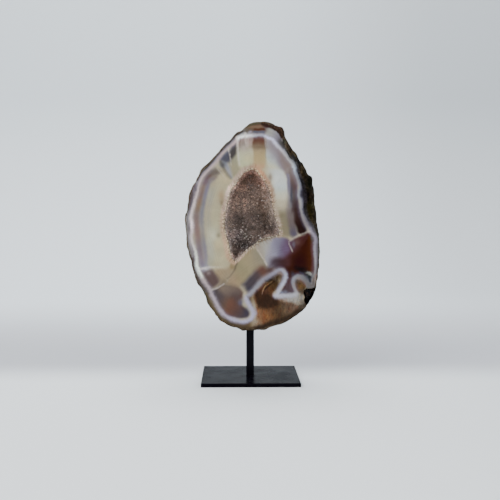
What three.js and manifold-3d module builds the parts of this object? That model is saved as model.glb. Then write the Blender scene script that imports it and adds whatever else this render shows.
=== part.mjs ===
// Half of an agate geode with a crystal-lined hollow, held up by a steel post on a square steel plate.
// Millimetres, +Z up. The polished face looks along -Y, and the origin is the middle of the plate's underside.
import * as THREE from "three";
import { mergeVertices } from "three/addons/utils/BufferGeometryUtils.js";
import Module from "manifold-3d";

// The stand: a square plate, and a square bar that ends in a thin round pin.
const plateSide = 100;
const plateThickness = 4;
const plateBevel = 0.4;
const postSide = 8;
const seatHeight = 55.5; // the bar's shoulder, where the flat ground under the stone rests
const pinDiameter = 5;
const pinLength = 20;
const pinPoint = 0.6; // chamfer at the pin's tip
const pinSides = 20;

// The stone: the polished face is a plane, the widest section lies behind it, and the back is a dome.
const faceY = -24;
const girthDepth = 12;
const stoneThickness = 52;
const domeFullness = 2.4; // exponent of the dome's profile: 2 is an ellipse, more is squarer
const backPole = { x: 3, z: 158 };
const heart = { x: 0, z: 165 }; // the point that every outline goes round
const seatWidth = 16;
const seatDepth = 18;

// The hollow and the crystal crust that lines it.
const hollowDepth = 20;
const mouthCrust = 2; // the crust's thickness at the polished face
const floorCrust = 4;
const clearance = 0.3; // between pieces that don't share a flat
const wallFullness = 3; // exponent of the hollow's profile
const crystalPitch = 2.5; // side of the lattice's triangles, so a crystal is twice as wide
const crystalHeight = 2.4;
const mouthSlope = 40; // how fast the crystals' feet run forward outside the hollow
const hollowMiddle = { x: 1.5, z: 171 };
const fieldWidth = 68; // of the field of crystals, which reaches past the hollow all round
const fieldHeight = 104;

// A small dark vug that breaks through the face at the lower right edge.
const vug = { x: 59.3, z: 89.3, width: 9, height: 13.5, depth: 16, tilt: 0.45 };

// Edge of the polished face as [x, z], clockwise from the top.
const faceEdge = [
  [2, 263], [9, 264], [15, 263], [20, 260], [25, 256], [29, 252.5], [31, 249], [31.5, 245.5],
  [34, 240.5], [37, 234], [40, 229], [43.5, 227], [47, 221.5], [48.3, 214], [50.8, 206], [53, 198],
  [54.5, 192], [54.7, 186], [53.7, 180], [55, 173], [58, 166.5], [62, 162.5], [65, 157.5], [67.6, 151],
  [69, 142], [69, 132], [68.3, 121], [67.3, 111], [65.8, 102], [63.5, 93.5], [59.5, 85], [54, 77.5],
  [46, 70.5], [38, 65], [30, 61.8], [22, 59.3], [14, 56.8], [6, 55.8], [-2, 55.7], [-9, 56.2],
  [-16, 58.8], [-23, 61.6], [-29.5, 65.2], [-34.5, 70.5], [-39, 76.5], [-42.5, 82.5], [-44.2, 88.5],
  [-47, 95], [-51, 100.5], [-54, 107], [-57, 116], [-59.2, 127], [-62.7, 140], [-64.2, 154],
  [-64.9, 168], [-62.8, 177], [-61, 189], [-57.8, 199.5], [-52.8, 208], [-49.5, 214.5], [-43.5, 220],
  [-37.5, 227], [-30.5, 235], [-24, 242], [-17, 249], [-10.5, 254], [-4.5, 259.5],
];

// The widest section of the stone, out on the right where the rough skin bulges past the face.
const girthEdge = [
  [2.2, 265.3], [8.3, 266.5], [15.4, 266.5], [22.5, 264.5], [27.6, 262], [32.6, 261], [35.2, 257],
  [35.2, 252], [37.7, 247.8], [45.8, 235.7], [50.9, 228.1], [54.9, 221], [59, 213.4], [63, 210.3],
  [64.5, 203.2], [66, 195], [66.4, 186], [67.6, 176], [68.1, 167], [69.6, 157.7], [71.1, 151.6],
  [71.6, 141.5], [71.3, 131.3], [70.6, 121.2], [69.6, 111.1], [68.6, 103], [66.6, 93.9], [63, 85.8],
  [57.9, 77.7], [50.9, 71.1], [45.8, 67], [40.7, 63], [35.7, 60.2], [23.5, 56.4], [17.4, 53.9],
  [12.4, 52.8], [4.8, 52.6], [-2.8, 52.6], [-8.9, 52.7], [-13, 54.4], [-18, 56.2], [-24.1, 58.9],
  [-30.2, 62], [-33.2, 65.5], [-37.3, 71.1], [-44.3, 80.7], [-45.9, 86.8], [-47.4, 91.8], [-50.4, 96.4],
  [-54.5, 102], [-58.5, 114.1], [-61.1, 126.3], [-64.6, 140.5], [-66.1, 154.6], [-66.9, 164.8],
  [-66.8, 170.8], [-64.6, 176.9], [-62.6, 190.1], [-59.5, 201.2], [-56, 205.3], [-51.4, 215.4],
  [-47.9, 220], [-42.3, 224], [-38.3, 229.6], [-30.2, 238.7], [-25.1, 244.8], [-20, 248.8], [-15, 254.4],
  [-9.9, 256.9], [-2.8, 263],
];

// Edge of the hollow in the face, where the cut ends and the crystals begin.
const hollowEdge = [
  [1, 217.5], [5.5, 216], [9, 212], [14, 206], [18.5, 198.5], [21, 190], [22.3, 180], [24.5, 171],
  [27.5, 161.5], [29.6, 154.5], [27, 151], [17, 149], [9.5, 146], [1.5, 140.5], [-5.5, 135],
  [-11, 128.5], [-15.3, 124.8], [-18.7, 128], [-21, 135], [-22.5, 144], [-25, 153], [-26.6, 162],
  [-25.5, 173], [-23, 184], [-20.2, 195], [-14.5, 203], [-9, 211], [-4.5, 215.5],
];

// How finely the faceted solids are cut.
const around = 84;
const rimRings = 4;
const domeRings = 18;
const hollowRings = 8;

const wasm = await Module();
wasm.setup();

// A closed mesh as a solid that can be joined and cut.
function solidOf(geometry) {
  const bare = geometry.clone();
  bare.deleteAttribute("normal");
  bare.deleteAttribute("uv");
  const merged = mergeVertices(bare, 1e-4);
  return new wasm.Manifold(
    new wasm.Mesh({
      numProp: 3,
      vertProperties: merged.attributes.position.array,
      triVerts: new Uint32Array(merged.index.array),
    }),
  );
}

function geometryOf(solid) {
  const { vertProperties, triVerts } = solid.getMesh();
  const geometry = new THREE.BufferGeometry();
  geometry.setAttribute("position", new THREE.BufferAttribute(vertProperties, 3));
  geometry.setIndex(new THREE.BufferAttribute(triVerts, 1));
  geometry.computeVertexNormals();
  return geometry;
}

function namedMesh(name, geometry, material) {
  const mesh = new THREE.Mesh(geometry, material);
  mesh.name = name;
  return mesh;
}

// A smooth closed outline through the points, as a function from the angle round the heart to the radius.
function radiusRound(points) {
  const curve = new THREE.CatmullRomCurve3(
    points.map(([x, z]) => new THREE.Vector3(x - heart.x, 0, z - heart.z)),
    true,
    "catmullrom",
    0.5,
  );
  const samples = curve
    .getPoints(points.length * 12)
    .slice(1)
    .map((p) => [Math.atan2(p.z, p.x), Math.hypot(p.x, p.z)])
    .sort((a, b) => a[0] - b[0]);
  const [first, last] = [samples[0], samples.at(-1)];
  const ring = [[last[0] - 2 * Math.PI, last[1]], ...samples, [first[0] + 2 * Math.PI, first[1]]];
  return (angle) => {
    const turned = Math.atan2(Math.sin(angle), Math.cos(angle));
    const next = ring.findIndex(([a]) => a > turned);
    const [a0, r0] = ring[next - 1];
    const [a1, r1] = ring[next];
    return r0 + ((r1 - r0) * (turned - a0)) / (a1 - a0);
  };
}

const faceRadius = radiusRound(faceEdge);
const girthRadius = radiusRound(girthEdge);
const hollowRadius = radiusRound(hollowEdge);

function smoothstep(low, high, value) {
  const t = Math.min(1, Math.max(0, (value - low) / (high - low)));
  return t * t * (3 - 2 * t);
}

// Rounded knobs with creases between them, 15 to 40 mm across, on the rough skin. Calm fades the small ones.
function knobs(x, y, z, calm) {
  const wide = Math.sin(x / 13 + 1.1 * Math.sin(z / 21) + 0.4) * Math.sin(z / 15 + 0.9 * Math.sin(y / 9));
  const small = Math.sin(x / 7 - z / 11 + 0.8) * Math.sin(z / 6.5 + y / 8 + 0.7 * Math.sin(x / 9));
  return 2.6 * Math.sqrt(Math.abs(wide)) + 1.5 * Math.sqrt(Math.abs(small)) * (1 - calm) - 2.4;
}

// The girth with its bumps averaged out. Only this broad shape is left towards the middle of the back.
function broadRadius(angle) {
  const nearby = [-0.6, -0.4, -0.2, 0, 0.2, 0.4, 0.6];
  return nearby.reduce((sum, turn) => sum + girthRadius(angle + turn), 0) / nearby.length;
}

// A point of the rough skin. Depth 0 is the face's edge, 1 is the girth and 2 is the middle of the back.
function skinPoint(angle, depth) {
  const isFront = depth <= 1;
  const turn = (isFront ? depth : depth - 1) * (Math.PI / 2);
  const back = isFront ? 0 : Math.sin(turn);
  const broad = smoothstep(0.3, 0.95, back);
  const girth = girthRadius(angle) * (1 - broad) + broadRadius(angle) * broad;
  const edge = faceRadius(angle);
  const shrink = Math.pow(1 - Math.pow(back, domeFullness), 1 / domeFullness);
  const radius = isFront ? edge + (girth - edge) * Math.sin(turn) : girth * shrink;
  const frontY = faceY + girthDepth * (1 - Math.cos(turn));
  const y = isFront ? frontY : faceY + girthDepth + (stoneThickness - girthDepth) * back;
  const drift = back * back;
  const x = heart.x + (backPole.x - heart.x) * drift + radius * Math.cos(angle);
  const z = heart.z + (backPole.z - heart.z) * drift + radius * Math.sin(angle);
  const rise = knobs(x, y, z, broad) * smoothstep(faceY + 3, faceY + 22, y);
  const outward = rise * Math.sqrt(1 - back * back);
  return [x + outward * Math.cos(angle), y + rise * back, z + outward * Math.sin(angle)];
}

// A point of the hollow's wall, grown by some millimetres. Turn 0 is the mouth, a quarter turn is the floor.
function hollowPoint(angle, turn, grow, deepen) {
  const radius =
    (hollowRadius(angle) + grow) * Math.pow(1 - Math.pow(Math.sin(turn), wallFullness), 1 / wallFullness);
  const y = faceY + (hollowDepth + deepen) * Math.sin(turn);
  return [heart.x + radius * Math.cos(angle), y, heart.z + radius * Math.sin(angle)];
}

// A closed mesh through rings of points: each ring goes once round, and a ring of one point is a pole.
function closedRings(rings) {
  const positions = rings.flat(2);
  const starts = [];
  rings.reduce((total, ring) => (starts.push(total), total + ring.length), 0);
  const triangles = [];
  for (let k = 0; k + 1 < rings.length; k++) {
    const [near, far] = [rings[k].length, rings[k + 1].length];
    for (let i = 0; i < around; i++) {
      const j = (i + 1) % around;
      const [a, b] = [starts[k] + (near > 1 ? i : 0), starts[k] + (near > 1 ? j : 0)];
      const [c, d] = [starts[k + 1] + (far > 1 ? i : 0), starts[k + 1] + (far > 1 ? j : 0)];
      if (a !== b) triangles.push(a, c, b);
      if (c !== d) triangles.push(b, c, d);
    }
  }
  const geometry = new THREE.BufferGeometry();
  geometry.setAttribute("position", new THREE.BufferAttribute(new Float32Array(positions), 3));
  geometry.setIndex(triangles);
  return geometry;
}

const angles = Array.from({ length: around }, (_, i) => (i / around) * 2 * Math.PI);
const steps = (count, from = 0) => Array.from({ length: count }, (_, i) => (i + from) / count);

// The hollow's wall as rings from its floor out to its mouth.
function hollowWall(grow, deepen) {
  const rings = steps(hollowRings)
    .reverse()
    .map((part) => angles.map((angle) => hollowPoint(angle, (part * Math.PI) / 2, grow, deepen)));
  return [[hollowPoint(0, Math.PI / 2, grow, deepen)], ...rings];
}

// An ellipsoid that leaves a pocket at the lower right edge of the face.
function vugCutter() {
  return new THREE.IcosahedronGeometry(1, 2)
    .scale(vug.width / 2, vug.depth / 2, vug.height / 2)
    .rotateY(vug.tilt)
    .translate(vug.x, faceY, vug.z);
}

function pinShape(radius, length, point) {
  return new THREE.LatheGeometry(
    [
      new THREE.Vector2(0, -1),
      new THREE.Vector2(radius, -1),
      new THREE.Vector2(radius, length - point),
      new THREE.Vector2(radius - point, length),
      new THREE.Vector2(0, length),
    ],
    pinSides,
  )
    .rotateX(Math.PI / 2)
    .translate(0, 0, seatHeight);
}

function makeStone() {
  const mouth = mouthCrust + clearance;
  const rim = steps(rimRings).map((depth) => angles.map((angle) => skinPoint(angle, depth)));
  const dome = steps(domeRings).map((part) => angles.map((angle) => skinPoint(angle, 1 + part)));
  const rings = [...hollowWall(mouth, floorCrust + clearance), ...rim, ...dome, [skinPoint(0, 2)]];
  const cutHeight = 40;
  const seat = new THREE.BoxGeometry(seatWidth, seatDepth, cutHeight);
  seat.translate(0, 0, seatHeight - cutHeight / 2);
  const bore = pinShape(pinDiameter / 2 + clearance, pinLength + 1, pinPoint);
  const stone = solidOf(closedRings(rings))
    .subtract(solidOf(seat))
    .subtract(solidOf(bore))
    .subtract(solidOf(vugCutter()));
  return geometryOf(stone);
}

// A repeatable number from 0 to 1 for a place in the druse's lattice.
function scatter(column, row, salt) {
  const mixed = Math.sin(column * 127.1 + row * 311.7 + salt * 74.7) * 43758.5453;
  return mixed - Math.floor(mixed);
}

// How far back the crystals' feet lie at a place in the hollow. Outside its edge they run out past the face.
function druseDepth(x, z) {
  const [dx, dz] = [x - heart.x, z - heart.z];
  const part = Math.hypot(dx, dz) / hollowRadius(Math.atan2(dz, dx));
  if (part >= 1) return faceY - (part - 1) * mouthSlope;
  return faceY + hollowDepth * Math.pow(1 - Math.pow(part, wallFullness), 1 / wallFullness);
}

// A slab whose front is a field of six-sided quartz points. Their feet are a lattice of equal triangles, and
// every third point of it is a crystal's tip, so that each tip has six valley points round it.
function crystalField() {
  const rowPitch = crystalPitch * Math.sin(Math.PI / 3);
  const rows = Math.ceil(fieldHeight / rowPitch);
  const columns = Math.ceil(fieldWidth / crystalPitch + rows / 2);
  const slab = new THREE.BoxGeometry(columns, 1, rows, columns, 1, rows);
  const place = slab.attributes.position;
  for (let v = 0; v < place.count; v++) {
    const column = Math.round(place.getX(v) + columns / 2);
    const row = Math.round(place.getZ(v) + rows / 2);
    const isTip = (column + row) % 3 === 0;
    const shake = crystalPitch * (isTip ? 0.28 : 0.14);
    const across = (column - columns / 2 - (row - rows / 2) / 2) * crystalPitch;
    const x = hollowMiddle.x + across + shake * (scatter(column, row, 1) - 0.5);
    const z = hollowMiddle.z + (row - rows / 2) * rowPitch + shake * (scatter(column, row, 2) - 0.5);
    const height = isTip ? crystalHeight * (0.6 + 0.8 * scatter(column, row, 3)) : 0;
    const isFront = place.getY(v) < 0;
    place.setXYZ(v, x, isFront ? druseDepth(x, z) - height : faceY + 2 * hollowDepth, z);
  }
  return slab;
}

// The space that the crust may fill: from the face back to its own outer wall.
function crustSpace() {
  return closedRings([[[heart.x, faceY, heart.z]], ...hollowWall(mouthCrust, floorCrust).reverse()]);
}

// The largest of a solid's separate surfaces, without chips that a cut leaves loose.
function mainBody(solid) {
  return solid.decompose().sort((a, b) => b.volume() - a.volume())[0];
}

// The crust: a shell against the stone, with crystals fused all over its inner side.
function makeCrust() {
  return geometryOf(mainBody(solidOf(crustSpace()).intersect(solidOf(crystalField()))));
}

function makePlate() {
  const side = plateSide - 2 * plateBevel;
  const square = new THREE.Shape([
    new THREE.Vector2(-side / 2, -side / 2),
    new THREE.Vector2(side / 2, -side / 2),
    new THREE.Vector2(side / 2, side / 2),
    new THREE.Vector2(-side / 2, side / 2),
  ]);
  return new THREE.ExtrudeGeometry(square, {
    depth: plateThickness - 2 * plateBevel,
    bevelThickness: plateBevel,
    bevelSize: plateBevel,
    bevelSegments: 2,
  }).translate(0, 0, plateBevel);
}

function makePost() {
  const length = seatHeight - plateThickness;
  const bar = new THREE.BoxGeometry(postSide, postSide, length).translate(0, 0, plateThickness + length / 2);
  return geometryOf(solidOf(bar).add(solidOf(pinShape(pinDiameter / 2, pinLength, pinPoint))));
}

const agate = new THREE.MeshStandardMaterial({ color: 0x9c8f80, roughness: 0.2, metalness: 0 });
const druse = new THREE.MeshStandardMaterial({ color: 0x6e5a50, roughness: 0.3, metalness: 0 });
const blackPaint = new THREE.MeshStandardMaterial({ color: 0x111215, roughness: 0.35, metalness: 0 });
druse.flatShading = true;

const geode = new THREE.Group();
geode.add(
  namedMesh("agate_stone", makeStone(), agate),
  namedMesh("druzy_crystals", makeCrust(), druse),
  namedMesh("stand_post", makePost(), blackPaint),
  namedMesh("stand_plate", makePlate(), blackPaint),
);

export default geode;
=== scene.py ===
import math

import bpy
import numpy as np
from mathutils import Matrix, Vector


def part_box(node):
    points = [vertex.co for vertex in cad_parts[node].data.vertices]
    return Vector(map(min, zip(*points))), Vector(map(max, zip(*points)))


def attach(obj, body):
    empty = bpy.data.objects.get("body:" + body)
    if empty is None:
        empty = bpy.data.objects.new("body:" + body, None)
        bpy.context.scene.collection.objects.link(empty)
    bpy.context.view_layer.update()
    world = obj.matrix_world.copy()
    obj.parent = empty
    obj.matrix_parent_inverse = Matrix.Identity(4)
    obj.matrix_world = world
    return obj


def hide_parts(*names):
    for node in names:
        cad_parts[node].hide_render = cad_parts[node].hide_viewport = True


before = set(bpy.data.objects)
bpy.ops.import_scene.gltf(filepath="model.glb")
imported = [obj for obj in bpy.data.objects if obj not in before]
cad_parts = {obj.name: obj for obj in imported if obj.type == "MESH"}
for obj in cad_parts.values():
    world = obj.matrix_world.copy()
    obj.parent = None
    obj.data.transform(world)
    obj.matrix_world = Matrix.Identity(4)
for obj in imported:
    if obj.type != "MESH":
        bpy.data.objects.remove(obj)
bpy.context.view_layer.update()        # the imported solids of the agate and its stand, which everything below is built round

mm = 0.001        # shapes are worked out in millimetres and stored in metres
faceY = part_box("agate_stone")[0].y / mm        # the plane of the polished face
heart = np.array([0.0, 165.0])        # every outline on the face goes round this point, x and z
print("frame loaded, polished face at y =", round(faceY, 2), "mm")


# Small tools for numbers

def smoothStep(low, high, value):
    # 0 below low, 1 above high, 3t^2 - 2t^3 between them
    t = np.clip((value - low) / (high - low), 0, 1)
    return t * t * (3 - 2 * t)


film = {
    "seen": (0, 3, 9, 18, 32, 51, 77, 96, 117, 135.5, 153, 165, 178, 186, 193, 202, 210, 255),
    "light": (0, 0.002, 0.005, 0.01, 0.02, 0.04, 0.08, 0.12, 0.18, 0.25, 0.35, 0.45, 0.6, 0.75, 0.9, 1.2, 1.55, 4),
    "level": 1.55,        # the light that falls on the polished face
    "veil": 0.008,        # what its gloss adds
}


def reflectance(seen):
    # from a shade as it should be seen, 0 to 255, to the share of light a surface must reflect for it:
    # the picture's tone curve read backwards between its steps, less the veil, over the light
    light = np.interp(seen, film["seen"], np.sqrt(film["light"])) ** 2
    return np.clip((light - film["veil"]) / film["level"], 0.0008, 0.92)


def valueNoise(points, size, seed=0):
    # one random number per lattice corner, from the fraction of a large sine, blended between the eight
    # corners round each point with 3t^2 - 2t^3; the answer runs from -1 to 1
    cell = np.asarray(points, float) / size + seed * 17.37
    base = np.floor(cell)
    part = cell - base
    part = part * part * (3 - 2 * part)
    total = np.zeros(len(cell))
    for corner in np.ndindex(2, 2, 2):
        value = np.sin((base + corner) @ np.array([127.1, 311.7, 74.7])) * 43758.5453
        weight = np.prod(np.where(corner, part, 1 - part), axis=1)
        total += weight * (value - np.floor(value))
    return total * 2 - 1


def smoothPath(points, closed=True, steps=6):
    # a cubic through each pair of neighbours whose end slopes are half the chords beside them
    p = np.asarray(points, float)
    if closed:
        before, start, end, after = (np.roll(p, shift, 0) for shift in (1, 0, -1, -2))
    else:
        p = np.vstack([2 * p[0] - p[1], p, 2 * p[-1] - p[-2]])
        before, start, end, after = p[:-3], p[1:-2], p[2:-1], p[3:]
    t = (np.arange(steps) / steps)[None, :, None]
    before, start, end, after = (q[:, None, :] for q in (before, start, end, after))
    curve = 0.5 * (2 * start + (end - before) * t + (2 * before - 5 * start + 4 * end - after) * t ** 2
                   + (3 * start - before - 3 * end + after) * t ** 3)
    curve = curve.reshape(-1, p.shape[1])
    return curve if closed else np.vstack([curve, p[-2]])


def distanceToPath(points, path, closed=True):
    # least distance to the segments a + t (b - a) with t held between 0 and 1, and how far along the path
    # the nearest place is, as a number of segments
    starts = path if closed else path[:-1]
    ends = np.roll(path, -1, 0) if closed else path[1:]
    nearest = np.full(len(points), np.inf)
    along = np.zeros(len(points))
    for i, (a, b) in enumerate(zip(starts, ends)):
        side = b - a
        t = np.clip(((points - a) @ side) / max(side @ side, 1e-12), 0, 1)
        far = np.hypot(points[:, 0] - a[0] - t * side[0], points[:, 1] - a[1] - t * side[1])
        nearer = far < nearest
        nearest[nearer] = far[nearer]
        along[nearer] = (i + t)[nearer]
    return nearest, along


def insidePath(points, path):
    # even-odd rule: a ray to +x crosses the outline an odd number of times
    inside = np.zeros(len(points), bool)
    for a, b in zip(path, np.roll(path, -1, 0)):
        spans = (a[1] > points[:, 1]) != (b[1] > points[:, 1])
        rise = b[1] - a[1] if b[1] != a[1] else 1.0
        crossing = a[0] + (points[:, 1] - a[1]) * (b[0] - a[0]) / rise
        inside ^= spans & (points[:, 0] < crossing)
    return inside


def signedDistance(points, path):
    # distance to a closed outline, negative inside it
    far, _ = distanceToPath(points, path)
    return np.where(insidePath(points, path), -far, far)


def radiusRound(points):
    # the radius of a closed outline round the heart, as a function of the angle
    x, z = (smoothPath(points, True, 12) - heart).T
    angle, radius = np.arctan2(z, x), np.hypot(x, z)
    order = np.argsort(angle)
    return lambda turn: np.interp(turn, angle[order], radius[order], period=2 * math.pi)


def roundHeart(angle, radius, y):
    # heart + radius (cos, sin) in x and z, at the depth y
    return np.stack([heart[0] + radius * np.cos(angle), y, heart[1] + radius * np.sin(angle)], -1)


def noisePair(points, size, seed):
    # two noises side by side, the second with the next seed
    return np.stack([valueNoise(points, size, seed), valueNoise(points, size, seed + 1)], -1)


# Small tools for meshes and materials

def buildMesh(name, points, quads, triangles, smooth=True):
    # points in millimetres; quads and triangles are rows of point numbers, turning left seen from outside
    mesh = bpy.data.meshes.new(name)
    mesh.vertices.add(len(points))
    mesh.vertices.foreach_set("co", (points * mm).astype(np.float32).ravel())
    corners = np.concatenate([quads.ravel(), triangles.ravel()]).astype(np.int32)
    sizes = np.concatenate([np.full(len(quads), 4), np.full(len(triangles), 3)])
    mesh.loops.add(len(corners))
    mesh.loops.foreach_set("vertex_index", corners)
    mesh.polygons.add(len(sizes))
    mesh.polygons.foreach_set("loop_start", (np.cumsum(sizes) - sizes).astype(np.int32))
    mesh.polygons.foreach_set("use_smooth", np.full(len(sizes), smooth))
    mesh.update(calc_edges=True)
    piece = bpy.data.objects.new(name, mesh)
    bpy.context.scene.collection.objects.link(piece)
    return piece


def closedFaces(rows, around, tip, turned=False):
    # quads between neighbouring rings of a grid whose rings close on themselves, and a fan at either end round
    # the points tip and tip + 1; turned is for rings whose rows run away from the viewer, as on the stone
    k, i = np.meshgrid(np.arange(rows - 1), np.arange(around), indexing="ij")
    j = (i + 1) % around
    corners = [k * around + i, k * around + j, (k + 1) * around + j, (k + 1) * around + i]
    quads = np.stack(corners[::-1] if turned else corners, -1).reshape(-1, 4)
    ring = np.arange(around)
    following = (ring + 1) % around
    if not turned:
        ring, following = following, ring
    last = (rows - 1) * around
    near = np.stack([np.full(around, tip), ring, following], -1)
    far = np.stack([np.full(around, tip + 1), last + following, last + ring], -1)
    return quads, np.vstack([near, far])


def storeVector(piece, name, values):
    # three values per point, as an attribute that a material can read
    layer = piece.data.attributes.new(name, "FLOAT_VECTOR", "POINT")
    layer.data.foreach_set("vector", np.asarray(values, np.float32).ravel())


def storeColour(piece, name, colours):
    # shares of red, green and blue per point, with a full alpha
    layer = piece.data.attributes.new(name, "FLOAT_COLOR", "POINT")
    layer.data.foreach_set("color", np.column_stack([colours, np.ones(len(colours))]).astype(np.float32).ravel())


def newMaterial(name, **sockets):
    # a Principled material; the values given go straight to the shader's own sockets
    material = bpy.data.materials.new(name)
    material.use_nodes = True
    shader = material.node_tree.nodes["Principled BSDF"]
    for socket, value in sockets.items():
        shader.inputs[socket.replace("_", " ")].default_value = value
    return material, material.node_tree, shader


def addNode(tree, kind, inputs=None, **settings):
    # inputs are sockets to link or plain values, by name or number
    node = tree.nodes.new("ShaderNode" + kind)
    for name, value in settings.items():
        setattr(node, name, value)
    for key, value in (inputs or {}).items():
        if isinstance(value, bpy.types.NodeSocket):
            tree.links.new(value, node.inputs[key])
        else:
            node.inputs[key].default_value = value
    return node


def calculate(tree, operation, *values):
    # one Math node on sockets or plain numbers
    return addNode(tree, "Math", dict(enumerate(values)), operation=operation).outputs[0]


def rampValue(tree, value, low, high, outLow=0.0, outHigh=1.0):
    # value from low..high carried smoothly to outLow..outHigh
    inputs = {"Value": value, "From Min": low, "From Max": high, "To Min": outLow, "To Max": outHigh}
    return addNode(tree, "MapRange", inputs, interpolation_type="SMOOTHSTEP").outputs[0]


def product(tree, *values):
    # all the values multiplied together
    total = values[0]
    for value in values[1:]:
        total = calculate(tree, "MULTIPLY", total, value)
    return total


def swing(tree, value, contrast):
    # 1 + contrast (value - 0.5)
    return calculate(tree, "MULTIPLY_ADD", calculate(tree, "SUBTRACT", value, 0.5), contrast, 1.0)


def mixColour(tree, share, under, over, blend="MIX"):
    # under + share (over - under), or the blend named in its place
    node = addNode(tree, "Mix", data_type="RGBA", blend_type=blend)
    for key, value in (("Factor_Float", share), ("A_Color", under), ("B_Color", over)):
        socket = next(s for s in node.inputs if s.identifier == key)
        if isinstance(value, bpy.types.NodeSocket):
            tree.links.new(value, socket)
        else:
            socket.default_value = value
    return next(s for s in node.outputs if s.identifier == "Result_Color")


def shadeBy(tree, colour, value):
    # the colour times one number
    grey = addNode(tree, "CombineColor", {0: value, 1: value, 2: value}).outputs[0]
    return mixColour(tree, 1.0, colour, grey, "MULTIPLY")


def readAttribute(tree, name, output="Color"):
    return addNode(tree, "Attribute", attribute_name=name).outputs[output]


def parted(tree, vector):
    # a vector's X, Y and Z
    return addNode(tree, "SeparateXYZ", {0: vector}).outputs


def objectPlace(tree):
    return addNode(tree, "TexCoord").outputs["Object"]


def noise(tree, where, scale, detail=2.0, roughness=0.5):
    inputs = {"Vector": where, "Scale": scale, "Detail": detail, "Roughness": roughness}
    return addNode(tree, "TexNoise", inputs).outputs["Fac"]


def connect(tree, shader, colour, roughness=None, relief=None):
    # colour and roughness go to the shader; relief is a bump's strength, distance in metres and height
    tree.links.new(colour, shader.inputs["Base Color"])
    if roughness is not None:
        tree.links.new(roughness, shader.inputs["Roughness"])
    if relief is not None:
        bump = addNode(tree, "Bump", dict(zip(("Strength", "Distance", "Height"), relief)))
        tree.links.new(bump.outputs[0], shader.inputs["Normal"])


def tint(seen, gain=1.0):
    # a seen colour as a socket value
    return (*np.clip(reflectance(np.array(seen)) * gain, 0, 0.95), 1.0)


# The camera stands where the photograph was taken, a little left of the stand

view = {
    "place": (-16.79, -958.62, 184.01),
    "turnRight": 0.998,        # degrees
    "lookDown": 2.948,
    "focalPixels": 920.0,        # in a frame 500 pixels wide
    "framePixels": 500.0,
    "sensor": 36.0,
    "clip": (0.01, 20.0),        # nearest and farthest, in metres
}


def makeCamera():
    data = bpy.data.cameras.new("camera")
    data.sensor_width = view["sensor"]
    data.lens = view["focalPixels"] / view["framePixels"] * view["sensor"]
    data.clip_start, data.clip_end = view["clip"]
    camera = bpy.data.objects.new("camera", data)
    camera.location = [c * mm for c in view["place"]]
    camera.rotation_euler = (math.radians(90 - view["lookDown"]), 0, math.radians(-view["turnRight"]))
    bpy.context.scene.collection.objects.link(camera)
    bpy.context.scene.camera = camera


makeCamera()
print("camera placed")


# Outlines on the polished face, as x and z in millimetres, clockwise from the top

faceEdge = [
    (2, 263), (9, 264), (15, 263), (20, 260), (25, 256), (29, 252.5), (31, 249), (31.5, 245.5),
    (34, 240.5), (37, 234), (40, 229), (43.5, 227), (47, 221.5), (48.3, 214), (50.8, 206), (53, 198),
    (54.5, 192), (54.7, 186), (53.7, 180), (55, 173), (58, 166.5), (62, 162.5), (65, 157.5), (67.6, 151),
    (69, 142), (69, 132), (68.3, 121), (67.3, 111), (65.8, 102), (63.5, 93.5), (59.5, 85), (54, 77.5),
    (46, 70.5), (38, 65), (30, 61.8), (22, 59.3), (14, 56.8), (6, 55.8), (-2, 55.7), (-9, 56.2),
    (-16, 58.8), (-23, 61.6), (-29.5, 65.2), (-34.5, 70.5), (-39, 76.5), (-42.5, 82.5), (-44.2, 88.5),
    (-47, 95), (-51, 100.5), (-54, 107), (-57, 116), (-59.2, 127), (-62.7, 140), (-64.2, 154),
    (-64.9, 168), (-62.8, 177), (-61, 189), (-57.8, 199.5), (-52.8, 208), (-49.5, 214.5), (-43.5, 220),
    (-37.5, 227), (-30.5, 235), (-24, 242), (-17, 249), (-10.5, 254), (-4.5, 259.5),
]
girthEdge = [
    (2.2, 265.3), (8.3, 266.5), (15.4, 266.5), (22.5, 264.5), (27.6, 262), (32.6, 261), (35.2, 257),
    (35.2, 252), (37.7, 247.8), (45.8, 235.7), (50.9, 228.1), (54.9, 221), (59, 213.4), (63, 210.3),
    (64.5, 203.2), (66, 195), (66.4, 186), (67.6, 176), (68.1, 167), (69.6, 157.7), (71.1, 151.6),
    (71.6, 141.5), (71.3, 131.3), (70.6, 121.2), (69.6, 111.1), (68.6, 103), (66.6, 93.9), (63, 85.8),
    (57.9, 77.7), (50.9, 71.1), (45.8, 67), (40.7, 63), (35.7, 60.2), (23.5, 56.4), (17.4, 53.9),
    (12.4, 52.8), (4.8, 52.6), (-2.8, 52.6), (-8.9, 52.7), (-13, 54.4), (-18, 56.2), (-24.1, 58.9),
    (-30.2, 62), (-33.2, 65.5), (-37.3, 71.1), (-44.3, 80.7), (-45.9, 86.8), (-47.4, 91.8), (-50.4, 96.4),
    (-54.5, 102), (-58.5, 114.1), (-61.1, 126.3), (-64.6, 140.5), (-66.1, 154.6), (-66.9, 164.8),
    (-66.8, 170.8), (-64.6, 176.9), (-62.6, 190.1), (-59.5, 201.2), (-56, 205.3), (-51.4, 215.4),
    (-47.9, 220), (-42.3, 224), (-38.3, 229.6), (-30.2, 238.7), (-25.1, 244.8), (-20, 248.8), (-15, 254.4),
    (-9.9, 256.9), (-2.8, 263),
]
hollowEdge = [
    (1, 217.5), (5.5, 216), (9, 212), (14, 206), (18.5, 198.5), (21, 190), (22.3, 180), (24.5, 171),
    (27.5, 161.5), (29.6, 154.5), (27, 151), (17, 149), (9.5, 146), (1.5, 140.5), (-5.5, 135),
    (-11, 128.5), (-15.3, 124.8), (-18.7, 128), (-21, 135), (-22.5, 144), (-25, 153), (-26.6, 162),
    (-25.5, 173), (-23, 184), (-20.2, 195), (-14.5, 203), (-9, 211), (-4.5, 215.5),
]

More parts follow.
